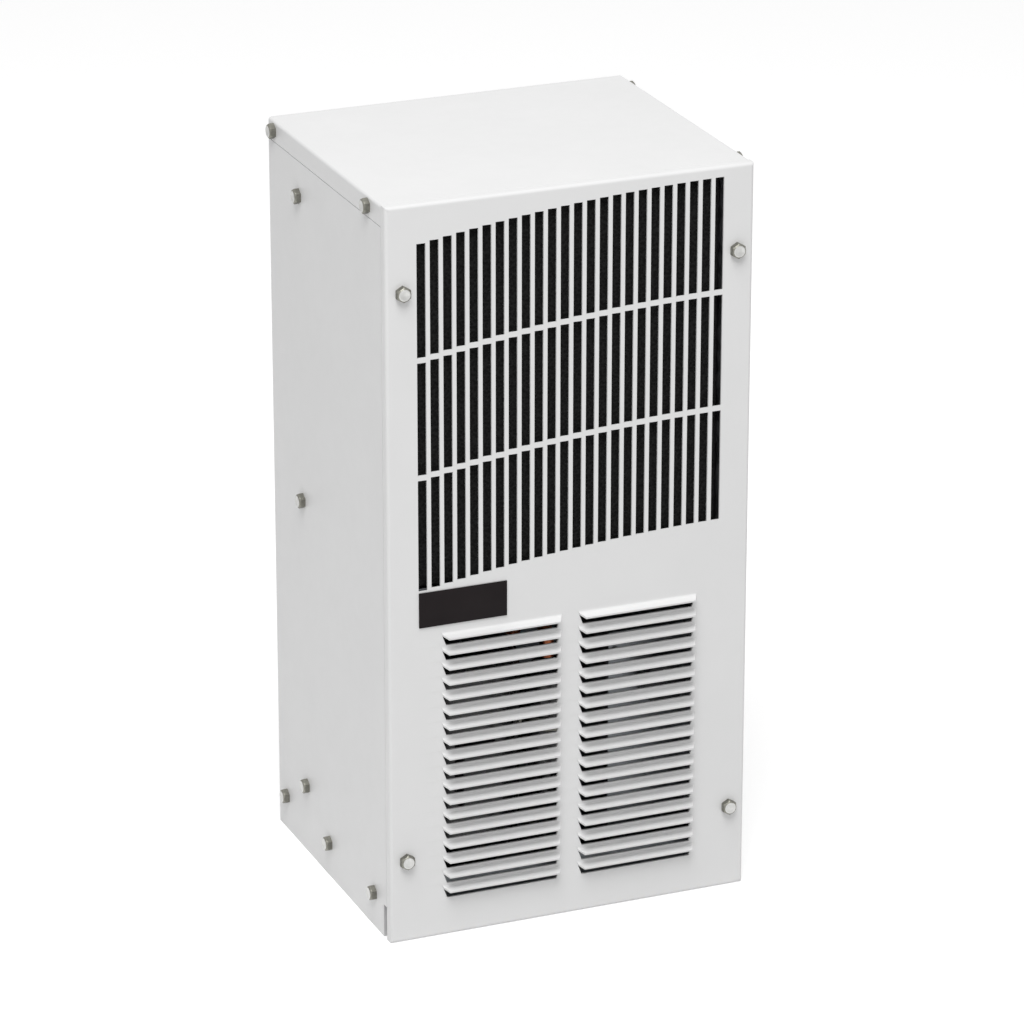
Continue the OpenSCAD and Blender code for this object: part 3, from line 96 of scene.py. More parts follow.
def surface(points, ring=False, loop=False, keep=None, finish=0):
    """One part of a piece: a grid of points, its faces without the cells where keep is False, and the
    number of its finish."""
    points = np.asarray(points, float)
    faces = cells(points.shape[0], points.shape[1], ring, loop)
    if keep is not None:
        faces = faces[np.asarray(keep).reshape(-1)]
    return points.reshape(-1, 3), faces, finish


def piece(name, parts, finishes, body, stands_for=(), closed=True, crease=35.0):
    """Joins parts in millimetres into one object in metres, welds the points that they share and gives the
    object to a body. Edges sharper than crease degrees stay hard."""
    points = np.concatenate([part[0] for part in parts]) * MM
    starts = np.cumsum([0] + [len(part[0]) for part in parts])
    faces = [face for part, start in zip(parts, starts) for face in (part[1] + start).tolist()]
    numbers = np.concatenate([np.full(len(part[1]), part[2]) for part in parts])
    mesh = bpy.data.meshes.new(name)
    mesh.from_pydata(points.tolist(), [], faces)
    mesh.polygons.foreach_set("material_index", numbers)
    for finish in finishes:
        mesh.materials.append(finish)
    weld = bmesh.new()
    weld.from_mesh(mesh)
    bmesh.ops.remove_doubles(weld, verts=weld.verts, dist=WELD)
    bmesh.ops.dissolve_degenerate(weld, edges=weld.edges, dist=SLIVER)
    if closed:
        bmesh.ops.recalc_face_normals(weld, faces=weld.faces)
    weld.to_mesh(mesh)
    weld.free()
    mesh.shade_smooth()
    mesh.set_sharp_from_angle(angle=math.radians(crease))
    thing = bpy.data.objects.new(name, mesh)
    bpy.context.scene.collection.objects.link(thing)
    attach(thing, body)
    if stands_for:
        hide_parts(*stands_for)
    print(name, len(mesh.polygons), "faces")
    return thing


def soften(thing, width, steps, angle, even=True):
    """Rounds the edges sharper than angle by width, in millimetres. Even lets the larger faces keep their
    own normals."""
    bevel = thing.modifiers.new("edge", "BEVEL")
    bevel.width, bevel.segments = width * MM, steps
    bevel.limit_method, bevel.angle_limit = "ANGLE", math.radians(angle)
    if even:
        shading = thing.modifiers.new("shading", "WEIGHTED_NORMAL")
        shading.weight, shading.keep_sharp = 100, True
    return thing


# %% [markdown]
# Round things are turned on a lathe: a profile of radius and height goes once round an axis. Screw heads
# use the same lathe with one more rule. A hexagon's side is nearer in the middle of a flat than at a
# corner, and a real head is cut by a cone at its top, so its radius is the smaller of the hexagon's and the
# cone's. A thin plate is a ball cut into eight parts that are moved apart to its corners, which leaves
# every edge round.

# %% Lathe, hexagon and rounded box


def axes(direction):
    """Three square directions as the rows of a matrix, the last of them along direction."""
    ahead = np.asarray(direction, float) / np.linalg.norm(direction)
    aside = np.cross([0.0, 0.0, 1.0] if abs(ahead[2]) < 0.9 else [0.0, 1.0, 0.0], ahead)
    aside /= np.linalg.norm(aside)
    return np.array([aside, np.cross(ahead, aside), ahead])


def turn(profile, at, direction, count=32, flats=0.0, finish=0, loop=False):
    """Lathe shape: radius times cosine and sine of the angle across, height along. With flats, the radius
    is at most the hexagon's. With loop, the profile closes on itself, so that the ring has a bore."""
    radius, height = np.asarray(profile, float).T
    angle = np.linspace(0, 2 * math.pi, count, endpoint=False)
    reach = np.repeat(radius[:, None], count, axis=1)
    along = np.repeat(height[:, None], count, axis=1)
    if flats:
        hexagon = flats / 2 / np.cos((angle + math.pi / 6) % (math.pi / 3) - math.pi / 6)
        reach = np.minimum(reach, hexagon[None, :])
    local = np.stack([reach * np.cos(angle), reach * np.sin(angle), along], axis=-1)
    return surface(local @ axes(direction) + np.asarray(at, float), ring=True, loop=loop, finish=finish)


def rounded_box(low, high, edge, steps=3):
    """A ball cut into eight and moved apart: the middle, plus the signs of each direction times half the
    size less the edge, plus the edge times the direction."""
    quarter = np.linspace(0, math.pi / 2, steps + 1)
    lift = np.concatenate([quarter - math.pi / 2, quarter])[:, None]
    heading = np.concatenate([quarter + k * math.pi / 2 for k in range(4)])[None, :]
    up = np.repeat([-1.0, 1.0], steps + 1)[:, None]
    right = np.repeat([1.0, -1.0, -1.0, 1.0], steps + 1)[None, :]
    behind = np.repeat([1.0, 1.0, -1.0, -1.0], steps + 1)[None, :]
    signs = np.stack(np.broadcast_arrays(right, behind, up), axis=-1)
    level, rise = np.cos(lift), np.sin(lift)
    ball = np.stack(np.broadcast_arrays(level * np.cos(heading), level * np.sin(heading), rise), axis=-1)
    corners = (low + high) / 2 + signs * ((high - low) / 2 - edge)
    points, faces, finish = surface(corners + edge * ball, ring=True)
    bottom = np.arange(4)[None, :] * (steps + 1)
    top = bottom + (lift.size - 1) * heading.size
    return points, np.concatenate([faces, bottom[:, ::-1], top]), finish


# %% [markdown]
# Every finish starts from what the real surface is made of, and how. Patterns are worked out from a real
# size in millimetres: a noise whose grain is 0.8 mm wide has the scale 1 / 0.8 mm. Object coordinates are
# used, so the grain is the same size on every piece. Colours are written as sRGB hex values, as on a paint
# chart, and turned to the linear light that the shader works in. Noise stays mostly between 0.3 and 0.7, so
# that middle band is what gets stretched to a range of colours or of gloss.

# %% Colour and node helpers
BAND_LOW, BAND_HIGH = 0.3, 0.7


def linear(hex_colour):
    """sRGB hex to linear RGBA: below 0.04045 the value over 12.92, above it a power of 2.4."""
    srgb = np.array([int(hex_colour[k : k + 2], 16) / 255 for k in (1, 3, 5)])
    light = np.where(srgb <= 0.04045, srgb / 12.92, ((srgb + 0.055) / 1.055) ** 2.4)
    return (*[float(v) for v in light], 1.0)


def feed(tree, node, **sockets):
    """Links patterns to a node's inputs, or sets them to plain values. A name has _ for a space, and i0, i1
    and so on count the inputs."""
    for name, value in sockets.items():
        counted = name[0] == "i" and name[1:].isdigit()
        target = node.inputs[int(name[1:]) if counted else name.replace("_", " ")]
        if isinstance(value, bpy.types.NodeSocket):
            tree.links.new(value, target)
        else:
            target.default_value = value


def add(tree, kind, settings=None, **sockets):
    """Adds one node: settings are its own properties, sockets are what its inputs are fed."""
    made = tree.nodes.new(kind)
    for name, value in (settings or {}).items():
        setattr(made, name, value)
    feed(tree, made, **sockets)
    return made


def start_finish(name):
    """An empty material with a shader, its output and the object's own coordinates."""
    made = bpy.data.materials.new(name)
    made.use_nodes = True
    tree = made.node_tree
    tree.nodes.clear()
    shader = add(tree, "ShaderNodeBsdfPrincipled")
    add(tree, "ShaderNodeOutputMaterial", Surface=shader.outputs["BSDF"])
    place = add(tree, "ShaderNodeTexCoord").outputs["Object"]
    return made, tree, shader, place


def grain(tree, place, width_mm, detail=2.0, stretch=(1.0, 1.0, 1.0)):
    """Noise whose blotches are about width_mm wide, longer where stretch is below one."""
    scaled = add(tree, "ShaderNodeMapping", Vector=place, Scale=[v / (width_mm * MM) for v in stretch])
    noise = add(tree, "ShaderNodeTexNoise", Vector=scaled.outputs["Vector"], Scale=1.0, Detail=detail)
    return noise.outputs["Fac"]


def pores(tree, place, width_mm):
    """Cells about width_mm wide: how far a point is from the nearest cell's middle, and a colour for each
    cell."""
    return add(tree, "ShaderNodeTexVoronoi", {"feature": "F1"}, Vector=place, Scale=1 / (width_mm * MM))


def spread(tree, value, low, high):
    """Stretches a pattern's middle band to the values from low to high."""
    ranged = add(tree, "ShaderNodeMapRange", Value=value, i1=BAND_LOW, i2=BAND_HIGH, i3=low, i4=high)
    return ranged.outputs["Result"]


def tint(tree, value, dark, light):
    """Mixes two sRGB colours by a pattern's middle band."""
    ramp = add(tree, "ShaderNodeValToRGB", Fac=value)
    first, last = ramp.color_ramp.elements
    first.color, last.color = linear(dark), linear(light)
    first.position, last.position = BAND_LOW, BAND_HIGH
    return ramp.outputs["Color"]


def relief(tree, shader, value, depth_mm):
    """Bumps the surface by a pattern that is depth_mm deep."""
    bump = add(tree, "ShaderNodeBump", Height=value, Distance=depth_mm * MM, Strength=1.0)
    feed(tree, shader, Normal=bump.outputs["Normal"])


# %% [markdown]
# Powder coat: a polyester powder is sprayed on the steel and melted in an oven. It flows out nearly flat
# and leaves a faint orange peel, waves about 1.5 mm wide and a few thousandths of a millimetre deep, with
# finer waves on them. The gloss is even, a little duller where the film is thicker. The light grey is the
# usual one of electrical cabinets.

# %% Finish: light grey powder coat


def powder_coat(name, dark, light):
    """Polyester powder coat: colour blotches 40 mm wide, orange peel 1.5 and 0.5 mm wide, semi-gloss."""
    made, tree, shader, place = start_finish(name)
    wide, fine = grain(tree, place, width_mm=1.5), grain(tree, place, width_mm=0.5, detail=1.0)
    peel = add(tree, "ShaderNodeMath", {"operation": "ADD"}, i0=wide, i1=fine)
    feed(tree, shader, Base_Color=tint(tree, grain(tree, place, width_mm=40.0), dark, light), IOR=1.5,
         Roughness=spread(tree, grain(tree, place, width_mm=9.0), 0.36, 0.44))
    relief(tree, shader, peel.outputs["Value"], depth_mm=0.006)
    return made


coat = powder_coat("polyester_powder_coat", "#D8D8D8", "#DADADA")
print("finish", coat.name)

# %% [markdown]
# Steel parts that aren't painted are zinc plated, which looks like dull silver with a faint yellow cast, or
# come from galvanised coil, whose zinc froze in flat crystals some millimetres wide. Each crystal leans its
# own way and takes the light differently, so both the grey and the roughness change from cell to cell.

# %% Finish: zinc plate and galvanised sheet
ROLLED = (1.0, 1.0, 0.03)


def zinc_plate(name, dark, light, rough):
    """Electroplated zinc on a cold headed screw: forming lines 0.25 mm wide and blotches 2 mm wide."""
    made, tree, shader, place = start_finish(name)
    blotches = grain(tree, place, width_mm=2.0, detail=3.0)
    feed(tree, shader, Base_Color=tint(tree, blotches, dark, light), Metallic=1.0,
         Roughness=spread(tree, grain(tree, place, width_mm=0.6), rough - 0.06, rough + 0.08))
    relief(tree, shader, grain(tree, place, width_mm=0.25), depth_mm=0.006)
    return made


def galvanised(name, dark, light):
    """Hot dip zinc: crystals 7 mm wide, each with its own grey and gloss, and rolling lines 0.3 mm wide."""
    made, tree, shader, place = start_finish(name)
    crystal = pores(tree, place, width_mm=7.0)
    value = add(tree, "ShaderNodeSeparateColor", Color=crystal.outputs["Color"]).outputs["Red"]
    feed(tree, shader, Base_Color=tint(tree, value, dark, light), Metallic=1.0,
         Roughness=spread(tree, value, 0.41, 0.48))
    relief(tree, shader, grain(tree, place, width_mm=0.3, detail=1.0, stretch=ROLLED), depth_mm=0.004)
    return made


# The plated zinc is made darker than plating is, as painted shade for the screw flats. The head-face copy is
# lighter, as a painted highlight on the head tops.
zinc = zinc_plate("zinc_plated_steel_painted_shade", "#77766F", "#88877F", 0.42)
zinc_painted_highlight = zinc_plate("zinc_head_face_painted_highlight", "#B9B9B7", "#C6C6C4", 0.36)
galvanised_sheet = galvanised("galvanised_steel_sheet", "#74777A", "#818487")
print("finishes", zinc.name, zinc_painted_highlight.name, galvanised_sheet.name)

# %% [markdown]
# Fin stock is thin rolled aluminium with fine straight rolling lines. The tubes are drawn copper, with
# darker salmon blotches where hands and the brazing torch have been. The whole copper is also darker than new
# copper, as painted shade for the tubes seen through the louvres. The capacitor's can is drawn aluminium,
# with scratches that run along its height.

# %% Finish: aluminium and copper


def rolled_metal(name, dark, light, rough, width_mm, stretch):
    """Bare metal with lines width_mm wide, drawn out where stretch is below one."""
    made, tree, shader, place = start_finish(name)
    blotches = grain(tree, place, width_mm=12.0, detail=4.0)
    lines = grain(tree, place, width_mm, stretch=stretch)
    feed(tree, shader, Base_Color=tint(tree, blotches, dark, light), Metallic=1.0,
         Roughness=spread(tree, lines, rough - 0.08, rough + 0.1))
    relief(tree, shader, lines, depth_mm=0.004)
    return made


fin_stock = rolled_metal("rolled_fin_aluminium", "#C6C9CB", "#D9DBDD", 0.34, 0.4, ROLLED)
drawn_can = rolled_metal("drawn_aluminium_can", "#BFC1C3", "#D2D4D5", 0.3, 0.5, ROLLED)
# Both copper tones are made darker than new copper, as painted shade for the tubes seen through the louvres.
# The blotches between them are tarnish.
copper_tube_painted_shade = rolled_metal("drawn_copper_tube_painted_shade", "#7F4730", "#B06C4B", 0.34, 0.8, (0.1, 0.1, 0.1))
print("finishes", fin_stock.name, drawn_can.name, copper_tube_painted_shade.name)

# %% [markdown]
# The compressor, the motors and the plastic parts are dark. Enamel is glossy and slightly wavy over the
# steel below. A coated casting keeps the grain of the sand. Moulded plastic carries the fine spark texture
# of its mould. Each is made by the same function, with its own width and depth of pits.

# %% Finish: enamel, casting and plastics


def moulded(name, dark, light, rough, width_mm, depth_mm, ior=1.5, blotch_mm=15.0):
    """Moulded, cast or enamelled surface: pits width_mm wide and depth_mm deep on blotches of colour."""
    made, tree, shader, place = start_finish(name)
    feed(tree, shader, Base_Color=tint(tree, grain(tree, place, blotch_mm, detail=3.0), dark, light), IOR=ior,
         Roughness=spread(tree, grain(tree, place, 4 * width_mm), rough - 0.05, rough + 0.06))
    relief(tree, shader, grain(tree, place, width_mm), depth_mm)
    return made


black_enamel = moulded("baked_black_enamel", "#0E0E10", "#161618", 0.26, 2.5, 0.03)
casting = moulded("coated_motor_casting", "#27282B", "#33353A", 0.5, 0.9, 0.05)
black_plastic = moulded("moulded_black_nylon", "#141416", "#1C1C1F", 0.5, 0.5, 0.02)
white_plastic = moulded("moulded_white_plastic", "#D9D8D2", "#E4E3DE", 0.42, 0.5, 0.015)
label_black = moulded("black_anodised_plate", "#1E1A1B", "#242021", 0.5, 0.35, 0.004, 1.15, 25.0)
rubber = moulded("moulded_rubber", "#101010", "#1B1B1A", 0.72, 0.7, 0.03)
print("finishes", black_enamel.name, casting.name, black_plastic.name, white_plastic.name, label_black.name,
      rubber.name)

# %% [markdown]
# The filter is reticulated foam: an open net of struts round cells about 1.6 mm wide, nearly black. The
# gasket and the insulation are closed cell foam rubber, whose skin shows cells of about a millimetre as
# shallow pits. The cells and pits are coloured darker than the struts, as painted shade.

# %% Finish: foams


def foam(name, dark, light, width_mm, depth_mm, rough):
    """Foam: the cells are width_mm wide and sink, and the struts between them stand up. The colour is painted
    shade, dark in the cells and light on the struts. The middle half of the distance from a cell's middle
    makes the slope between the two."""
    made, tree, shader, place = start_finish(name)
    cell = pores(tree, place, width_mm).outputs["Distance"]
    strut = add(tree, "ShaderNodeMapRange", Value=cell, i1=0.25, i2=0.75, i3=0.0, i4=1.0).outputs["Result"]
    # The base colour follows the struts: painted shade in the cells, lighter on the struts.
    feed(tree, shader, Base_Color=tint(tree, strut, dark, light), IOR=1.15,
         Roughness=spread(tree, grain(tree, place, width_mm=3.0), rough - 0.06, rough))
    relief(tree, shader, strut, depth_mm)
    return made


filter_foam = foam("reticulated_filter_foam", "#181818", "#232323", 1.6, 0.3, 0.95)
gasket_foam = foam("closed_cell_foam_rubber", "#171717", "#222222", 0.8, 0.08, 0.85)
insulation_foam = foam("closed_cell_insulation", "#141414", "#232323", 1.1, 0.12, 0.9)
print("finishes", filter_foam.name, gasket_foam.name, insulation_foam.name)

# %% [markdown]
# The carried-over CAD nodes get their finish by the slot that the record gives them. A node's mesh is left
# as it is, and only the materials in its slots change.

# %% Finishes of the CAD nodes
BY_SLOT = {
    "powder_coat": coat, "zinc_steel": zinc, "galvanised_steel": galvanised_sheet, "fin_aluminium": fin_stock,
    "copper": copper_tube_painted_shade, "black_enamel": black_enamel, "motor_casting": casting,
    "black_plastic": black_plastic, "white_plastic": white_plastic, "nameplate_black": label_black,
    "rubber": rubber, "foam_rubber": gasket_foam, "filter_foam": filter_foam, "capacitor_can": drawn_can,
}
slot_of = {row["node"]: row["material_slot"] for row in frame["record"]["subparts"]}
for name, thing in frame["nodes"].items():
    thing.data.materials.clear()
    thing.data.materials.append(BY_SLOT[slot_of[name]])
print("nodes", len(slot_of), "in", len(set(slot_of.values())), "finishes")

# %% [markdown]
# The front cover is one sheet. Its slots stand in 24 columns, and their ends follow three arcs of one large
# circle, so the rows climb to the right. Each end is cut level, at the height that the arc has in the
# slot's middle. That makes a grid: the columns are upright lines at the slots' edges, the rows are the arcs
# in steps, and the cells that fall in a slot are left out. GRILLE is half the field's width, BAR the metal
# left between two slots, CROSS that between two rows, and SPLIT the height where the field with the louvres
# begins.

# %% Front cover: slotted field
COLUMNS, ROWS = 24, 3
GRILLE, BAR, SLOT_TALL, CROSS = 90.0, 2.4, 64.7, 2.9
PITCH = (2 * GRILLE + BAR) / COLUMNS
ARC_RADIUS, ARC_X, ARC_TOP = 1140.0, SIDE - 4.0, CROWN - 6.1
SPLIT = FOOT + 190.0


def arc_height(x, drop):
    """Height of an arc at x: its highest point less the radius, plus the root of the radius squared less
    the distance from the circle's middle squared, less the drop of the row."""
    return ARC_TOP - ARC_RADIUS + np.sqrt(ARC_RADIUS**2 - (x - ARC_X) ** 2) - drop


left_edges = np.arange(COLUMNS) * PITCH - GRILLE
slot_edges = np.stack([left_edges, left_edges + PITCH - BAR], axis=1)
upper_x = np.concatenate([[-SIDE + BEND], slot_edges.ravel(), [SIDE - BEND]])
arc_x = np.concatenate([[-SIDE + BEND], np.repeat(slot_edges.mean(axis=1), 2), [SIDE - BEND]])
row_tops = np.arange(ROWS - 1, -1, -1) * (SLOT_TALL + CROSS)
drops = np.stack([row_tops + SLOT_TALL, row_tops], axis=1).ravel()
arcs = arc_height(arc_x[None, :], drops[:, None])
upper_z = np.concatenate([[np.full_like(upper_x, SPLIT)], arcs, [np.full_like(upper_x, CROWN - BEND)]])
upper = np.stack([np.broadcast_to(upper_x, upper_z.shape), np.full(upper_z.shape, FRONT), upper_z], axis=-1)
is_slot = np.zeros((upper_z.shape[0] - 1, len(upper_x) - 1), bool)
is_slot[1::2, 1::2] = True
cover_parts = [surface(upper, keep=~is_slot)]
print("slots", int(is_slot.sum()))

# %% [markdown]
# Below the slots lie two banks of louvres. Each is a blade cut free on three sides and pressed out round
# its top edge. Its sides lean in, because the cut runs on a slant. The opening it leaves behind has the
# same outline, so the grid's lines step in at each lower edge and out again at the next hinge. BANK_X is
# the distance of a bank's middle from the cabinet's, OPENING the height of an opening, TAPER what each side
# leans in, BLADE a blade's length along the sheet and CURVE its bent part.

# %% Front cover: louvred field
LOUVRES, LOUVRE_PITCH, LOUVRE_LOW = 18, 9.0, FOOT + 31.1
BANK_X, BANK_HALF, OPENING, TAPER = 40.85, 36.15, 8.3, 3.0
BLADE, CURVE, LEAN = 6.2, 2.0, math.radians(76)
RIM_CUT, JOIN = 16.0, 1.0
hinges = LOUVRE_LOW + LOUVRE_PITCH * np.arange(LOUVRES)
openings = np.stack([hinges - OPENING, hinges], axis=1).ravel()
lower_z = np.concatenate([[FOOT + BEND], openings, [SPLIT - JOIN]])
bank_edges = [-BANK_X - BANK_HALF, -BANK_X + BANK_HALF, BANK_X - BANK_HALF, BANK_X + BANK_HALF]
straight = np.array([-SIDE + BEND, RIM_CUT - SIDE] + bank_edges + [SIDE - RIM_CUT, SIDE - BEND])
inward = np.array([0, 0, 1, -1, 1, -1, 0, 0])
lower_x = straight + np.concatenate([[0.0], np.tile([TAPER, 0.0], LOUVRES), [0.0]])[:, None] * inward
lower_heights = np.broadcast_to(lower_z[:, None], lower_x.shape)
lower = np.stack([lower_x, np.full(lower_x.shape, FRONT), lower_heights], axis=-1)
is_open = np.zeros((lower_x.shape[0] - 1, lower_x.shape[1] - 1), bool)
is_open[1:-1:2, 2] = is_open[1:-1:2, 4] = True
cover_parts.append(surface(lower, keep=~is_open))


def blade(middle, hinge):
    """One louvre: it leaves the face straight, turns through the lean angle over its first stretch and runs
    on flat. Each step goes out by its length times the sine of the lean and down by its length times the
    cosine. The two ends close in evenly."""
    run = np.concatenate([np.linspace(0, CURVE, 6), [2 * CURVE, BLADE]])
    lean = LEAN * np.clip(run / CURVE, 0, 1)
    length = np.diff(run)
    middle_lean = (lean[1:] + lean[:-1]) / 2
    out = np.concatenate([[0], np.cumsum(length * np.sin(middle_lean))])
    down = np.concatenate([[0], np.cumsum(length * np.cos(middle_lean))])
    half = BANK_HALF - TAPER * run / BLADE
    rows = [np.stack([middle + s * half, FRONT - out, hinge - down], axis=-1) for s in (-1, 1)]
    return surface(np.stack(rows, axis=1)[::-1])


cover_parts += [blade(bank, hinge) for bank in (-BANK_X, BANK_X) for hinge in hinges]
print("louvres", int(is_open.sum()))

# %% [markdown]
# The sheet is bent back all round by a quarter turn with an outer radius of 2 mm. The four rims meet at the
# corners along a mitre with a hair's width of gap. The bottom rim is cut away near its ends, beyond the
# bend.

# %% Front cover: rims
RIM_DEEP, MITRE_GAP = 6.0, 0.12
bend_turn = np.linspace(0, math.pi / 2, 11)
rim_out = np.concatenate([BEND * np.sin(bend_turn), [BEND]])
rim_back = np.concatenate([FRONT + BEND * (1 - np.cos(bend_turn)), [FRONT + RIM_DEEP]])


def rim(along, place, keep=None):
    """A strip bent back from the face: out by the radius times the sine, back by the radius less the radius
    times the cosine. Its two ends move out along the mitre."""
    reach = np.repeat(rim_out[:, None], len(along), axis=1)
    mitre = np.maximum(rim_out - MITRE_GAP, 0)
    shift = np.zeros_like(reach)
    shift[:, 0], shift[:, -1] = -mitre, mitre
    depth = np.broadcast_to(rim_back[:, None], reach.shape)
    return surface(place(along[None, :] + shift, reach, depth), keep=keep)


top = rim(upper_x, lambda along, out, y: np.stack([along, y, CROWN - BEND + out], axis=-1))
bottom_keep = np.ones((len(rim_out) - 1, len(straight) - 1), bool)
bottom_keep[-1, 0] = bottom_keep[-1, -1] = False
bottom = rim(lower_x[0], lambda along, out, y: np.stack([along, y, FOOT + BEND - out], axis=-1)[::-1],
             bottom_keep[::-1])
left_z, right_z = [np.concatenate([lower_z, upper_z[:, end]]) for end in (0, -1)]
left = rim(left_z, lambda along, out, y: np.stack([-SIDE + BEND - out, y, along], axis=-1))
right = rim(right_z, lambda along, out, y: np.stack([SIDE - BEND + out, y, along], axis=-1)[::-1])
cover_parts += [top, bottom, left, right]
print("rims bent to", BEND, "mm and", RIM_DEEP, "mm deep")

# %% [markdown]
# One long face joins the louvred field's last row to the slotted field's first. Solidify then gives the
# sheet its thickness inwards, and a bevel of less than a tenth of a millimetre takes the light along the
# punched edges. A wider one would turn over the narrow strips of sheet beside the louvres.

# %% Front cover: the finished piece
COVER_EDGE = 0.07
join_row = np.concatenate([lower[-1], upper[0][::-1]])
cover_parts.append((join_row, np.arange(len(join_row))[None, :], 0))
cover = piece("front_cover_sheet", cover_parts, [coat], "front_cover", ["front_cover"],
              closed=False)
wall = cover.modifiers.new("sheet", "SOLIDIFY")
wall.thickness, wall.offset, wall.use_even_offset = SHEET * MM, -1.0, True
cover.data.shade_flat()
soften(cover, COVER_EDGE, 2, 40.0, even=False)

# %% [markdown]
# The hexagonal screws are cold headed: six flats, a cone that cuts their upper corners and a shallow dish
# in the top. The head's top gets a lighter zinc than its flats: a painted highlight on the top and painted
# shade on the flats. Four hold the front cover, and eight stand on each side at the same places.
# COVER_SCREWS lists x and height, SIDE_SCREWS y and height.

# %% Hexagonal screws
FLATS, HEAD, SHANK, LENGTH = 7.9, 3.8, 2.0, 6.0
CROWN_SHARE, CONE_SLOPE, DISH, POINT = 0.8, 1.3, 0.35, 0.6


def hex_screw(at, direction):
    """Head and shank of one screw. The cone's radius grows by its slope times the height lost. A profile as
    wide as the flats leaves the hexagon whole."""
    crown = CROWN_SHARE * FLATS / 2
    cone = [(crown + CONE_SLOPE * t, HEAD - t) for t in (1.1, 0.6, 0.3, 0.1)]
    dish = [(crown - 0.1, HEAD), (crown - 0.5, HEAD), (crown - 0.8, HEAD - 0.12), (crown - 1.3, HEAD - DISH)]
    shank = [(SHANK, 0.0), (SHANK, POINT - LENGTH), (SHANK - POINT, -LENGTH), (0.0, -LENGTH)]
    # The sides take the darker zinc as painted shade on the flats, and the top takes the lighter zinc as a
    # painted highlight.
    sides = turn([(SHANK, 0.0), (FLATS, 0.0), (FLATS, HEAD - 1.2)] + cone, at, direction, 48, FLATS)
    head_top = turn(cone[-1:] + dish + [(0.0, HEAD - DISH)], at, direction, 48, FLATS, finish=1)
    return [sides, head_top, turn(shank, at, direction, 16)]


COVER_SCREWS = [(x, height) for x in (-98.2, 98.2) for height in (49.5, 383.0)]
SIDE_SCREWS = [
    (-155.5, 426.0), (-8.4, 426.0), (-47.7, 41.8), (-47.7, 218.6), (-47.7, 399.4),
    (-155.5, 21.0), (-84.25, 21.0), (-13.0, 21.0),
]
groups = {
    "cover_screws": ([((x, FRONT, FOOT + h), (0, -1, 0)) for x, h in COVER_SCREWS], "front_cover"),
    "left_side_screws": ([((-SIDE, y, FOOT + h), (-1, 0, 0)) for y, h in SIDE_SCREWS], "cabinet"),
    "right_side_screws": ([((SIDE, y, FOOT + h), (1, 0, 0)) for y, h in SIDE_SCREWS], "cabinet"),
}
for name, (places, body) in groups.items():
    parts = [part for at, direction in places for part in hex_screw(at, direction)]
    piece(name + "_hex", parts, [zinc, zinc_painted_highlight], body, [name], crease=28.0)

# %% [markdown]
# The bare plate under the slots is black anodised aluminium 0.8 mm thick, with its edges broken by a file.

# %% Nameplate
PLATE_EDGE = 0.3
piece("nameplate_plate", [rounded_box(plate_low, plate_high, PLATE_EDGE)], [label_black], "front_cover",
      ["nameplate"])

# %% [markdown]
# Folded, punched, cast and moulded pieces keep the CAD model's outline. What a real one adds is its edge:
# punching rolls sheet over by a few tenths of a millimetre, a mould leaves a small radius, and a casting a
# larger one. The copy joins the CAD node's triangles into whole faces first, so that only real edges are
# rounded. The tubes have no edges, so their copies only get smooth shading.

# %% Folded, cast and moulded pieces
body_of = {node: body for body, members in frame["record"]["behaviour"]["bodies"].items() for node in members}


def softened(node, width, steps=2, angle=32.0):
    """A copy of a CAD node with its flat faces whole and its edges rounded by width millimetres."""
    source = frame["nodes"][node]
    mesh = source.data.copy()
    mesh.transform(source.matrix_world)
    weld = bmesh.new()
    weld.from_mesh(mesh)
    bmesh.ops.remove_doubles(weld, verts=weld.verts, dist=WELD)
    bmesh.ops.dissolve_degenerate(weld, edges=weld.edges, dist=SLIVER)
    bmesh.ops.dissolve_limit(weld, angle_limit=math.radians(1), verts=weld.verts, edges=weld.edges)
    bmesh.ops.recalc_face_normals(weld, faces=weld.faces)
    weld.to_mesh(mesh)
    weld.free()
    mesh.shade_smooth()
    mesh.set_sharp_from_angle(angle=math.radians(angle))
    thing = bpy.data.objects.new(node + "_softened", mesh)
    bpy.context.scene.collection.objects.link(thing)
    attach(thing, body_of[node])
    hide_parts(node)
    return soften(thing, width, steps, angle) if width else thing


EDGES = {
    "left_side_panel": 0.25, "right_side_panel": 0.25, "top_cover": 0.25, "rear_plate": 0.25,
    "base_pan": 0.25, "base_pan_side_flanges": 0.25, "base_pan_end_flanges": 0.25,
    "drain_pan_side_walls": 0.5, "drain_pan_end_walls": 0.5, "partition": 0.25, "filter_retainer": 0.15,
    "fan_shroud": 0.25, "fan_bracket": 0.3, "inlet_ring": 0.3, "electrical_box": 0.2,
    "electrical_box_cover": 0.2, "condenser_left_end_plate": 0.2, "condenser_right_end_plate": 0.2,
    "evaporator_left_end_plate": 0.2, "evaporator_right_end_plate": 0.2, "accumulator_strap": 0.3,
    "drain_pan": 0.5, "drain_nipple": 0.4,
    "terminal_block": 0.3, "thermostat": 0.8, "thermostat_knob": 0.5, "cable_gland": 0.4, "gland_nut": 0.4,
    "compressor": 0.4, "compressor_terminal_cover": 1.2, "compressor_nuts": 0.3, "compressor_bolts": 0.3,
    "mounting_nuts": 0.4, "rear_plate_screws": 0.5, "condenser_screws": 0.4, "box_cover_screws": 0.4,
    "fan_motor": 0.6, "blower_motor": 0.6, "run_capacitor": 0.6, "suction_accumulator": 0.5,
    "filter_drier": 0.5, "condenser_tubes": 0.0, "evaporator_tubes": 0.0, "discharge_line": 0.0,
    "liquid_line": 0.0, "capillary_tube": 0.0, "suction_line": 0.0,
}
for node, width in EDGES.items():
    softened(node, width)
print(len(EDGES), "copies softened")

# %% [markdown]
# The filter is a pad of open foam. Its rim is pinched by the frame, so the half thickness grows there as a
# quarter circle, and the middle is a little thicker than the edges.

# %% Air filter
FILTER_EDGE, SWELL = 3.0, 0.12


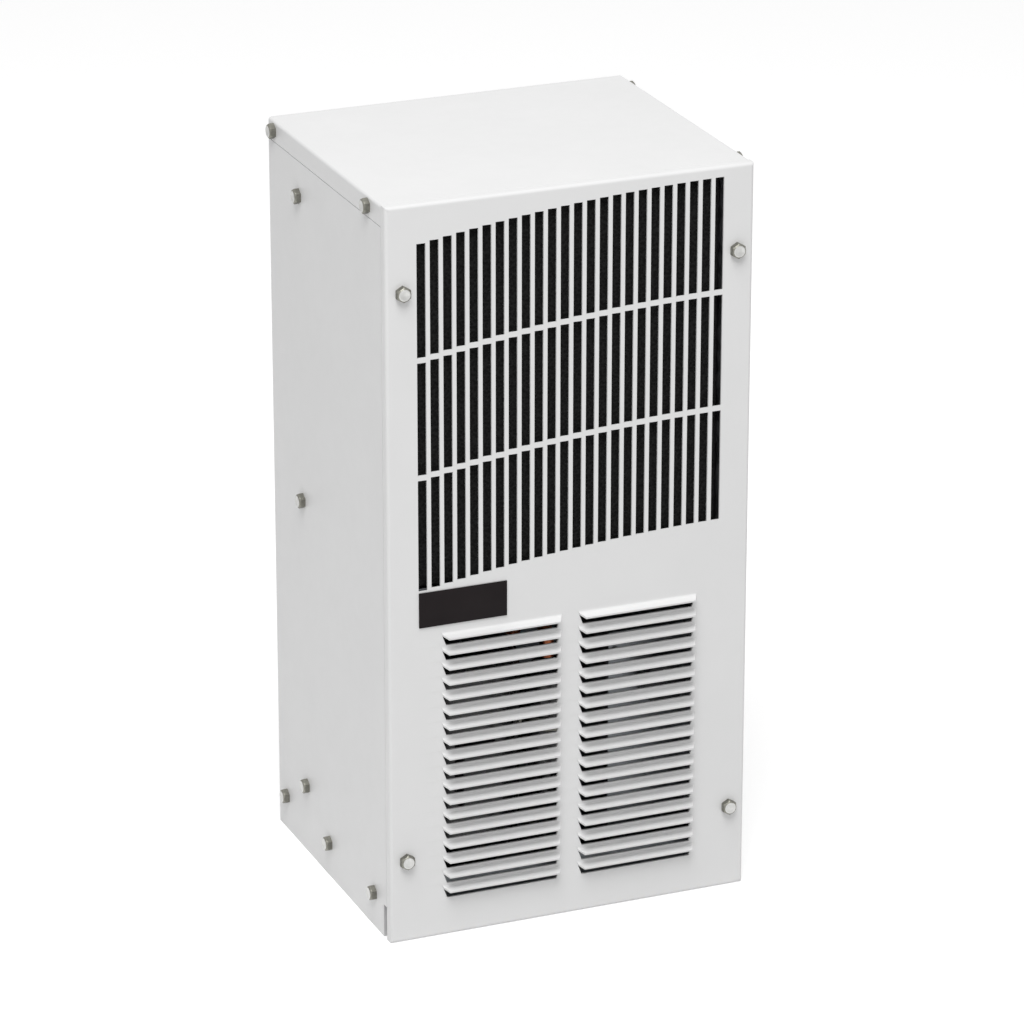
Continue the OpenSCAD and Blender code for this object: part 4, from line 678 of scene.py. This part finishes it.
def foam_pad(low, high, edge, swell, count=72):
    """Half thickness: a quarter circle over the edge width, then 1 less the swell times half the square of
    the distance from the middle."""
    half, middle = (high - low) / 2, (high + low) / 2
    share = np.sin(np.linspace(-1, 1, count) * math.pi / 2)
    u, v = np.meshgrid(share, share, indexing="ij")
    inset = np.clip(np.minimum(half[0] * (1 - abs(u)), half[2] * (1 - abs(v))), 0, edge)
    thick = half[1] * np.sqrt(1 - (1 - inset / edge) ** 2) * (1 - swell * (u**2 + v**2) / 2)
    x, z = middle[0] + half[0] * u, middle[2] + half[2] * v
    return [surface(np.stack([x, middle[1] + s * thick, z], axis=-1)) for s in (-1, 1)]


pad = piece("air_filter_foam", foam_pad(*corners_of("air_filter"), FILTER_EDGE, SWELL), [filter_foam],
            "front_cover", ["air_filter"], crease=60.0)

# %% [markdown]
# The gasket is a strip of closed cell foam rubber laid round the back in one ring. Its section is a soft
# rectangle: sine and cosine raised to a power below one. It is up to a twentieth thinner where the strip
# was pressed on. The insulation is a sheet of a like foam, cut with a knife, and keeps the CAD node's
# outline.

# %% Mounting gasket and insulation
GASKET_WIDE, SQUARENESS, PRESSED, PRESS_STEP = 10.0, 0.35, 0.05, 0.9
INSULATION_EDGE = 1.2


def strip_ring(low, high, wide, count=60, around=28):
    """A rectangle's outline times half its size plus the section's width. The section is the cosine and the
    sine to the power of the squareness, and the press is a slow wave along the outline."""
    half, middle = (high - low) / 2, (high + low) / 2
    side = np.linspace(-1, 1, count)[:-1]
    one = np.ones_like(side)
    corners = ((side, -one), (one, side), (-side, one), (-one, -side))
    path = np.concatenate([np.stack(run, axis=-1) for run in corners])
    turned = np.linspace(0, 2 * math.pi, around, endpoint=False)
    across, depth = [np.sign(f) * abs(f) ** SQUARENESS for f in (np.cos(turned), np.sin(turned))]
    press = 1 - PRESSED * np.sin(np.arange(len(path)) * PRESS_STEP) ** 2
    reach = (across - 1) * wide / 2
    x = middle[0] + path[:, :1] * (half[0] + reach[None, :])
    z = middle[2] + path[:, 1:] * (half[2] + reach[None, :])
    y = middle[1] + half[1] * depth[None, :] * press[:, None]
    return surface(np.stack([x, y, z], axis=-1), ring=True, loop=True)


ring = strip_ring(*corners_of("mounting_gasket"), GASKET_WIDE)
gasket = piece("mounting_gasket_foam", [ring], [gasket_foam], "cabinet", ["mounting_gasket"],
               crease=60.0)
sheet_foam = softened("partition_insulation", INSULATION_EDGE, 3)
sheet_foam.data.materials.clear()
sheet_foam.data.materials.append(insulation_foam)

# %% [markdown]
# Each foot of the compressor stands on a rubber grommet: a foot flange, a waist that gives, and a collar
# with a rounded lip, all turned round the bore for the bolt. The shell is two drawn cups, welded together
# in a bead.

# %% Compressor grommets and weld bead
FEET, FOOT_CIRCLE, GROMMET_RADIUS = 3, 50.0, 8.0
GROMMET = [
    (3.4, 0.0), (7.5, 0.0), (8.0, 0.5), (8.0, 2.2), (7.5, 2.9), (6.4, 3.6), (5.9, 4.7), (6.2, 5.9),
    (7.1, 6.8), (7.7, 7.7), (7.7, 9.0), (7.1, 9.8), (6.2, 10.0), (3.4, 10.0),
]
BEAD_LEVEL, BEAD_CIRCLE, BEAD_HALF_WIDE, BEAD_HALF_TALL = -158.0, 39.9, 0.9, 0.8
UPRIGHT = (0, 0, 1)
grommets_low, grommets_high = corners_of("compressor_grommets")
shell_x = grommets_high[0] - GROMMET_RADIUS - FOOT_CIRCLE
shell_y = (grommets_low[1] + grommets_high[1]) / 2
foot_turns = [2 * math.pi * k / FEET for k in range(FEET)]
grommets = [
    turn(GROMMET, (shell_x + FOOT_CIRCLE * math.cos(t), shell_y + FOOT_CIRCLE * math.sin(t), grommets_low[2]),
         UPRIGHT, 40, loop=True)
    for t in foot_turns
]
piece("grommets_turned", grommets, [rubber], "cabinet", ["compressor_grommets"], crease=40.0)
bead_turn = np.linspace(0, 2 * math.pi, 13)[:-1]
bead_radius = BEAD_CIRCLE + BEAD_HALF_WIDE * np.cos(bead_turn)
bead = np.stack([bead_radius, BEAD_HALF_TALL * np.sin(bead_turn)], axis=-1)
piece("compressor_weld_bead", [turn(bead, (shell_x, shell_y, BEAD_LEVEL), UPRIGHT, 96, loop=True)],
      [black_enamel], "cabinet", crease=60.0)

# %% [markdown]
# The condenser fan is moulded in one piece with its rotor cup. A blade is a stack of wing sections: the
# chord grows and the pitch falls from the hub to the tip, and each section is arched by a parabola and thin
# at both edges. The fan's place comes from the frame: its axis from the joint, its back from the CAD node's
# box.

# %% Condenser fan
ROTOR_BASE, ROTOR_WALL, BOSS, BORE = 6.0, 4.0, 6.0, 3.05
FAN_HUB, FAN_ROOT, FAN_TIP, FAN_DEPTH, FAN_BLADES = 30.0, 29.0, 74.6, 24.0, 5
CHORDS, PITCHES, FAN_BLADE_THICK, FAN_BLADE_ARCH = (24.5, 34.0), (34.0, 24.0), 1.7, 1.6
TIP_START, TIP_NARROWING = 0.8, 0.16
turning = [joint for joint in frame["record"]["behaviour"]["joints"] if joint["type"] == "hinge"]
axis_of = {joint["name"]: joint["pos_m"] for joint in turning}


def cup(radius, depth):
    """Profile of a rotor cup with its boss and blind shaft hole, from the axis outside round and back."""
    top, inner = ROTOR_BASE + depth, radius - ROTOR_WALL
    outside = [
        (0, top), (radius - 2.2, top), (radius - 0.7, top - 0.5), (radius, top - 2.0),
        (radius, ROTOR_BASE + 0.4), (radius - 0.4, ROTOR_BASE),
    ]
    inside = [
        (inner + 0.4, ROTOR_BASE), (inner, ROTOR_BASE + 0.4), (inner, top - ROTOR_WALL),
        (BOSS, top - ROTOR_WALL), (BOSS, ROTOR_BASE + 1), (BORE, ROTOR_BASE + 1),
        (BORE, top - 2), (0, top - 2),
    ]
    return outside + inside


def wing(turned, middle, count=16, sections=14):
    """Points of one blade: tangent c cos p - n sin p and height c sin p + n cos p, wound on the cylinder of
    each radius. Here c runs along the chord, n is the arch and half the thickness, and p is the pitch. The
    chord narrows over the last fifth of the span."""
    share = np.concatenate([[0.0], np.linspace(0.0, 1.0, sections), [1.0]])
    closing = np.concatenate([[0.0], np.ones(sections), [0.0]])[:, None]
    radius = (FAN_ROOT + (FAN_TIP - FAN_ROOT) * share)[:, None]
    narrowing = 1 - TIP_NARROWING * np.clip((share - TIP_START) / (1 - TIP_START), 0, 1) ** 2
    chord = ((CHORDS[0] + (CHORDS[1] - CHORDS[0]) * share) * narrowing)[:, None]
    pitch = np.radians(PITCHES[0] + (PITCHES[1] - PITCHES[0]) * share)[:, None]
    s = np.sin(np.linspace(-1, 1, count) * math.pi / 2)
    round_ = np.concatenate([s, s[-2:0:-1]])[None, :]
    side = np.concatenate([np.ones(count), -np.ones(count - 2)])[None, :]
    across = chord / 2 * round_
    thickness = closing * (side * FAN_BLADE_THICK / 2 * np.sqrt(1 - round_**4))
    bulge = FAN_BLADE_ARCH * (1 - round_**2) + thickness
    tangent = across * np.cos(pitch) - bulge * np.sin(pitch)
    height = across * np.sin(pitch) + bulge * np.cos(pitch)
    angle = turned + tangent / radius
    return np.stack([radius * np.cos(angle), radius * np.sin(angle), middle + height], axis=-1)


def facing(points, y, z, ahead):
    """Turns a local axis into the front's direction (ahead -1) or the back's (ahead 1), through the point
    (0, y, z)."""
    return np.stack([points[..., 0], y + ahead * points[..., 2], z - ahead * points[..., 1]], axis=-1)


fan_y, fan_z = corners_of("fan_impeller")[1][1] + ROTOR_BASE, axis_of["condenser_fan_spin"][2] / MM
fan_parts = [turn(cup(FAN_HUB, FAN_DEPTH), (0, fan_y, fan_z), (0, -1, 0), 72)]
for k in range(FAN_BLADES):
    points = wing(2 * math.pi * k / FAN_BLADES, ROTOR_BASE + FAN_DEPTH / 2)
    fan_parts.append(surface(facing(points, fan_y, fan_z, -1), ring=True))
piece("fan_impeller_moulded", fan_parts, [black_plastic], "condenser_fan", ["fan_impeller"],
      crease=50.0)

# %% [markdown]
# The blower is a plug wheel with nine blades that lean back. Each follows an arc from the mouth to the rim,
# between a flat back disc and a front ring whose mouth is rolled for the air. Its ends reach a little way
# into both, as they do in a wheel moulded in one.

# %% Blower wheel
WHEEL_RADIUS, WHEEL_WALL, WHEEL_DEPTH, WHEEL_BLADES = 66.0, 1.6, 30.0, 9
MOUTH, ROTOR, ROTOR_DEPTH = 44.5, 32.0, 26.0
BLADE_LEAN_IN, BLADE_LEAN_OUT, BLADE_RUN, BLADE_STEPS, SUNK = 20, 60, 23.4, 14, 0.4
WHEEL_BACK = ROTOR_BASE + 4.0
WHEEL_FRONT = WHEEL_BACK + WHEEL_WALL + WHEEL_DEPTH
wheel_at = (0, corners_of("blower_wheel")[0][1] - ROTOR_BASE, axis_of["blower_spin"][2] / MM)


def bent_blade(turned):
    """Side walls of a blade: the middle line sets out 20 degrees from the radius and ends at 60, and each
    wall stands half the thickness to its side."""
    lean = turned + np.radians(np.linspace(BLADE_LEAN_IN, BLADE_LEAN_OUT, BLADE_STEPS + 1))
    strides = BLADE_RUN / BLADE_STEPS * np.stack([np.cos(lean[:-1]), np.sin(lean[:-1])], axis=-1)
    start = MOUTH * np.array([math.cos(turned), math.sin(turned)])
    line = start + np.concatenate([[[0, 0]], np.cumsum(strides, axis=0)])
    aside = np.stack([-np.sin(lean), np.cos(lean)], axis=-1) * WHEEL_WALL / 2
    outline = np.concatenate([line + aside, (line - aside)[::-1]])
    levels = (WHEEL_BACK + SUNK, WHEEL_FRONT + SUNK)
    rows = [np.concatenate([outline, np.full((len(outline), 1), level)], axis=1) for level in levels]
    rows = facing(np.stack(rows), wheel_at[1], wheel_at[2], 1)
    ends = [(row, np.arange(len(outline))[None, :], 0) for row in rows]
    return [surface(rows, ring=True)] + ends


def disc(inner, outer, level):
    """Profile of a flat ring, WHEEL_WALL thick, with its mouth and its rim rounded."""
    top = level + WHEEL_WALL
    return [
        (inner, level + 0.3), (inner, top - 0.3), (inner + 0.3, top), (inner + 4, top),
        (outer - 0.4, top), (outer, top - 0.4), (outer, level + 0.4), (outer - 0.4, level),
        (inner + 4, level), (inner + 0.3, level),
    ]


BACKWARD = (0, 1, 0)
wheel_parts = [
    turn(cup(ROTOR, ROTOR_DEPTH), wheel_at, BACKWARD, 72),
    turn(disc(ROTOR - 1, WHEEL_RADIUS, WHEEL_BACK), wheel_at, BACKWARD, 96, loop=True),
    turn(disc(MOUTH, WHEEL_RADIUS, WHEEL_FRONT), wheel_at, BACKWARD, 96, loop=True),
]
for k in range(WHEEL_BLADES):
    wheel_parts += bent_blade(2 * math.pi * k / WHEEL_BLADES)
piece("blower_wheel_moulded", wheel_parts, [black_plastic], "blower", ["blower_wheel"],
      crease=40.0)

# %% [markdown]
# The stage is a plain pale floor in a white studio. The floor glows, and the world is fully white, only
# where the camera or a shiny surface looks at them. What lights the cabinet is a duller world and one lamp,
# so the background can be white without washing it out.

# %% Floor and world
FLOOR_HALF, FLOOR_GLOW, SKY_LIGHT, SKY_SEEN, WHITE = 6, 0.42, 0.41, 1.0, (1, 1, 1, 1)
floor_corners = [(x * FLOOR_HALF, y * FLOOR_HALF, FOOT * MM) for x, y in ((-1, -1), (1, -1), (1, 1), (-1, 1))]
floor_mesh = bpy.data.meshes.new("floor")
floor_mesh.from_pydata(floor_corners, [], [(0, 1, 2, 3)])
floor = bpy.data.objects.new("floor", floor_mesh)
bpy.context.scene.collection.objects.link(floor)


def larger(tree, one, other):
    """The larger of two values."""
    return add(tree, "ShaderNodeMath", {"operation": "MAXIMUM"}, i0=one, i1=other).outputs["Value"]


pale, tree, shader, _ = start_finish("pale_floor")
feed(tree, shader, Base_Color=linear("#E6E6E6"), Roughness=0.9)
rays = add(tree, "ShaderNodeLightPath").outputs
seen = larger(tree, rays["Is Camera Ray"], rays["Is Glossy Ray"])
glow = add(tree, "ShaderNodeEmission", Color=WHITE, Strength=FLOOR_GLOW)
both = add(tree, "ShaderNodeAddShader", i0=shader.outputs["BSDF"], i1=glow.outputs["Emission"])
mix = add(tree, "ShaderNodeMixShader", Fac=seen, i1=shader.outputs["BSDF"], i2=both.outputs["Shader"])
output = [node for node in tree.nodes if node.type == "OUTPUT_MATERIAL"][0]
feed(tree, output, Surface=mix.outputs["Shader"])
floor_mesh.materials.append(pale)

world = bpy.data.worlds.new("studio")
bpy.context.scene.world = world
world.use_nodes = True
sky = world.node_tree
sky.nodes.clear()
rays = add(sky, "ShaderNodeLightPath").outputs
seen = larger(sky, rays["Is Camera Ray"], larger(sky, rays["Is Glossy Ray"], rays["Is Transmission Ray"]))
lit = add(sky, "ShaderNodeBackground", Color=WHITE, Strength=SKY_LIGHT)
white = add(sky, "ShaderNodeBackground", Color=WHITE, Strength=SKY_SEEN)
mix = add(sky, "ShaderNodeMixShader", Fac=seen, i1=lit.outputs["Background"], i2=white.outputs["Background"])
add(sky, "ShaderNodeOutputWorld", Surface=mix.outputs["Shader"])
print("floor", 2 * FLOOR_HALF, "m wide, world light", SKY_LIGHT)

# %% [markdown]
# One large soft box hangs above the cabinet, in front of it and to its left. It gives the top, the front
# and the side the three greys that they have in the photograph.

# %% Light
LAMP_AT, LAMP_AIM, LAMP_SIZE, LAMP_POWER = Vector((-0.67, -1.38, 2.62)), Vector((0, -0.09, 0)), 1.8, 82
lamp_data = bpy.data.lights.new("key", "AREA")
lamp_data.shape, lamp_data.size, lamp_data.energy = "SQUARE", LAMP_SIZE, LAMP_POWER
lamp = bpy.data.objects.new("key", lamp_data)
lamp.location = LAMP_AT
lamp.rotation_euler = (LAMP_AIM - LAMP_AT).to_track_quat("-Z", "Y").to_euler()
bpy.context.scene.collection.objects.link(lamp)
print("lamp", round((LAMP_AIM - LAMP_AT).length, 2), "m away")

# %% [markdown]
# The camera stands at the photograph's own angle: 22.3 degrees to the left, 21.1 degrees above the horizon
# and about 3 m away, with a long lens. The small shift puts the cabinet at its place in the picture, which
# is 1024 pixels wide.

# %% Camera
CAMERA_TURN, CAMERA_RISE, CAMERA_AWAY = math.radians(-22.3), math.radians(21.1), 2.98
LENS, SENSOR, PICTURE, SHIFT_RIGHT, SHIFT_UP = 184.8, 36.0, 1024, 3.8, -8.1
camera_data = bpy.data.cameras.new("camera")
camera_data.lens, camera_data.sensor_width = LENS, SENSOR
camera_data.shift_x, camera_data.shift_y = SHIFT_RIGHT / PICTURE, SHIFT_UP / PICTURE
camera_data.clip_start, camera_data.clip_end = 0.05, 50.0
camera = bpy.data.objects.new("camera", camera_data)
bpy.context.scene.collection.objects.link(camera)
bpy.context.scene.camera = camera
away = math.cos(CAMERA_RISE)
back = Vector((math.sin(CAMERA_TURN) * away, -math.cos(CAMERA_TURN) * away, math.sin(CAMERA_RISE)))
camera.location = Vector((0, FRONT / 2 * MM, 0)) + back * CAMERA_AWAY
camera.rotation_mode = "QUATERNION"
camera.rotation_quaternion = (-back).to_track_quat("-Z", "Y")
bpy.context.scene.view_settings.view_transform = "Standard"
print("camera at", [round(v, 3) for v in camera.location])
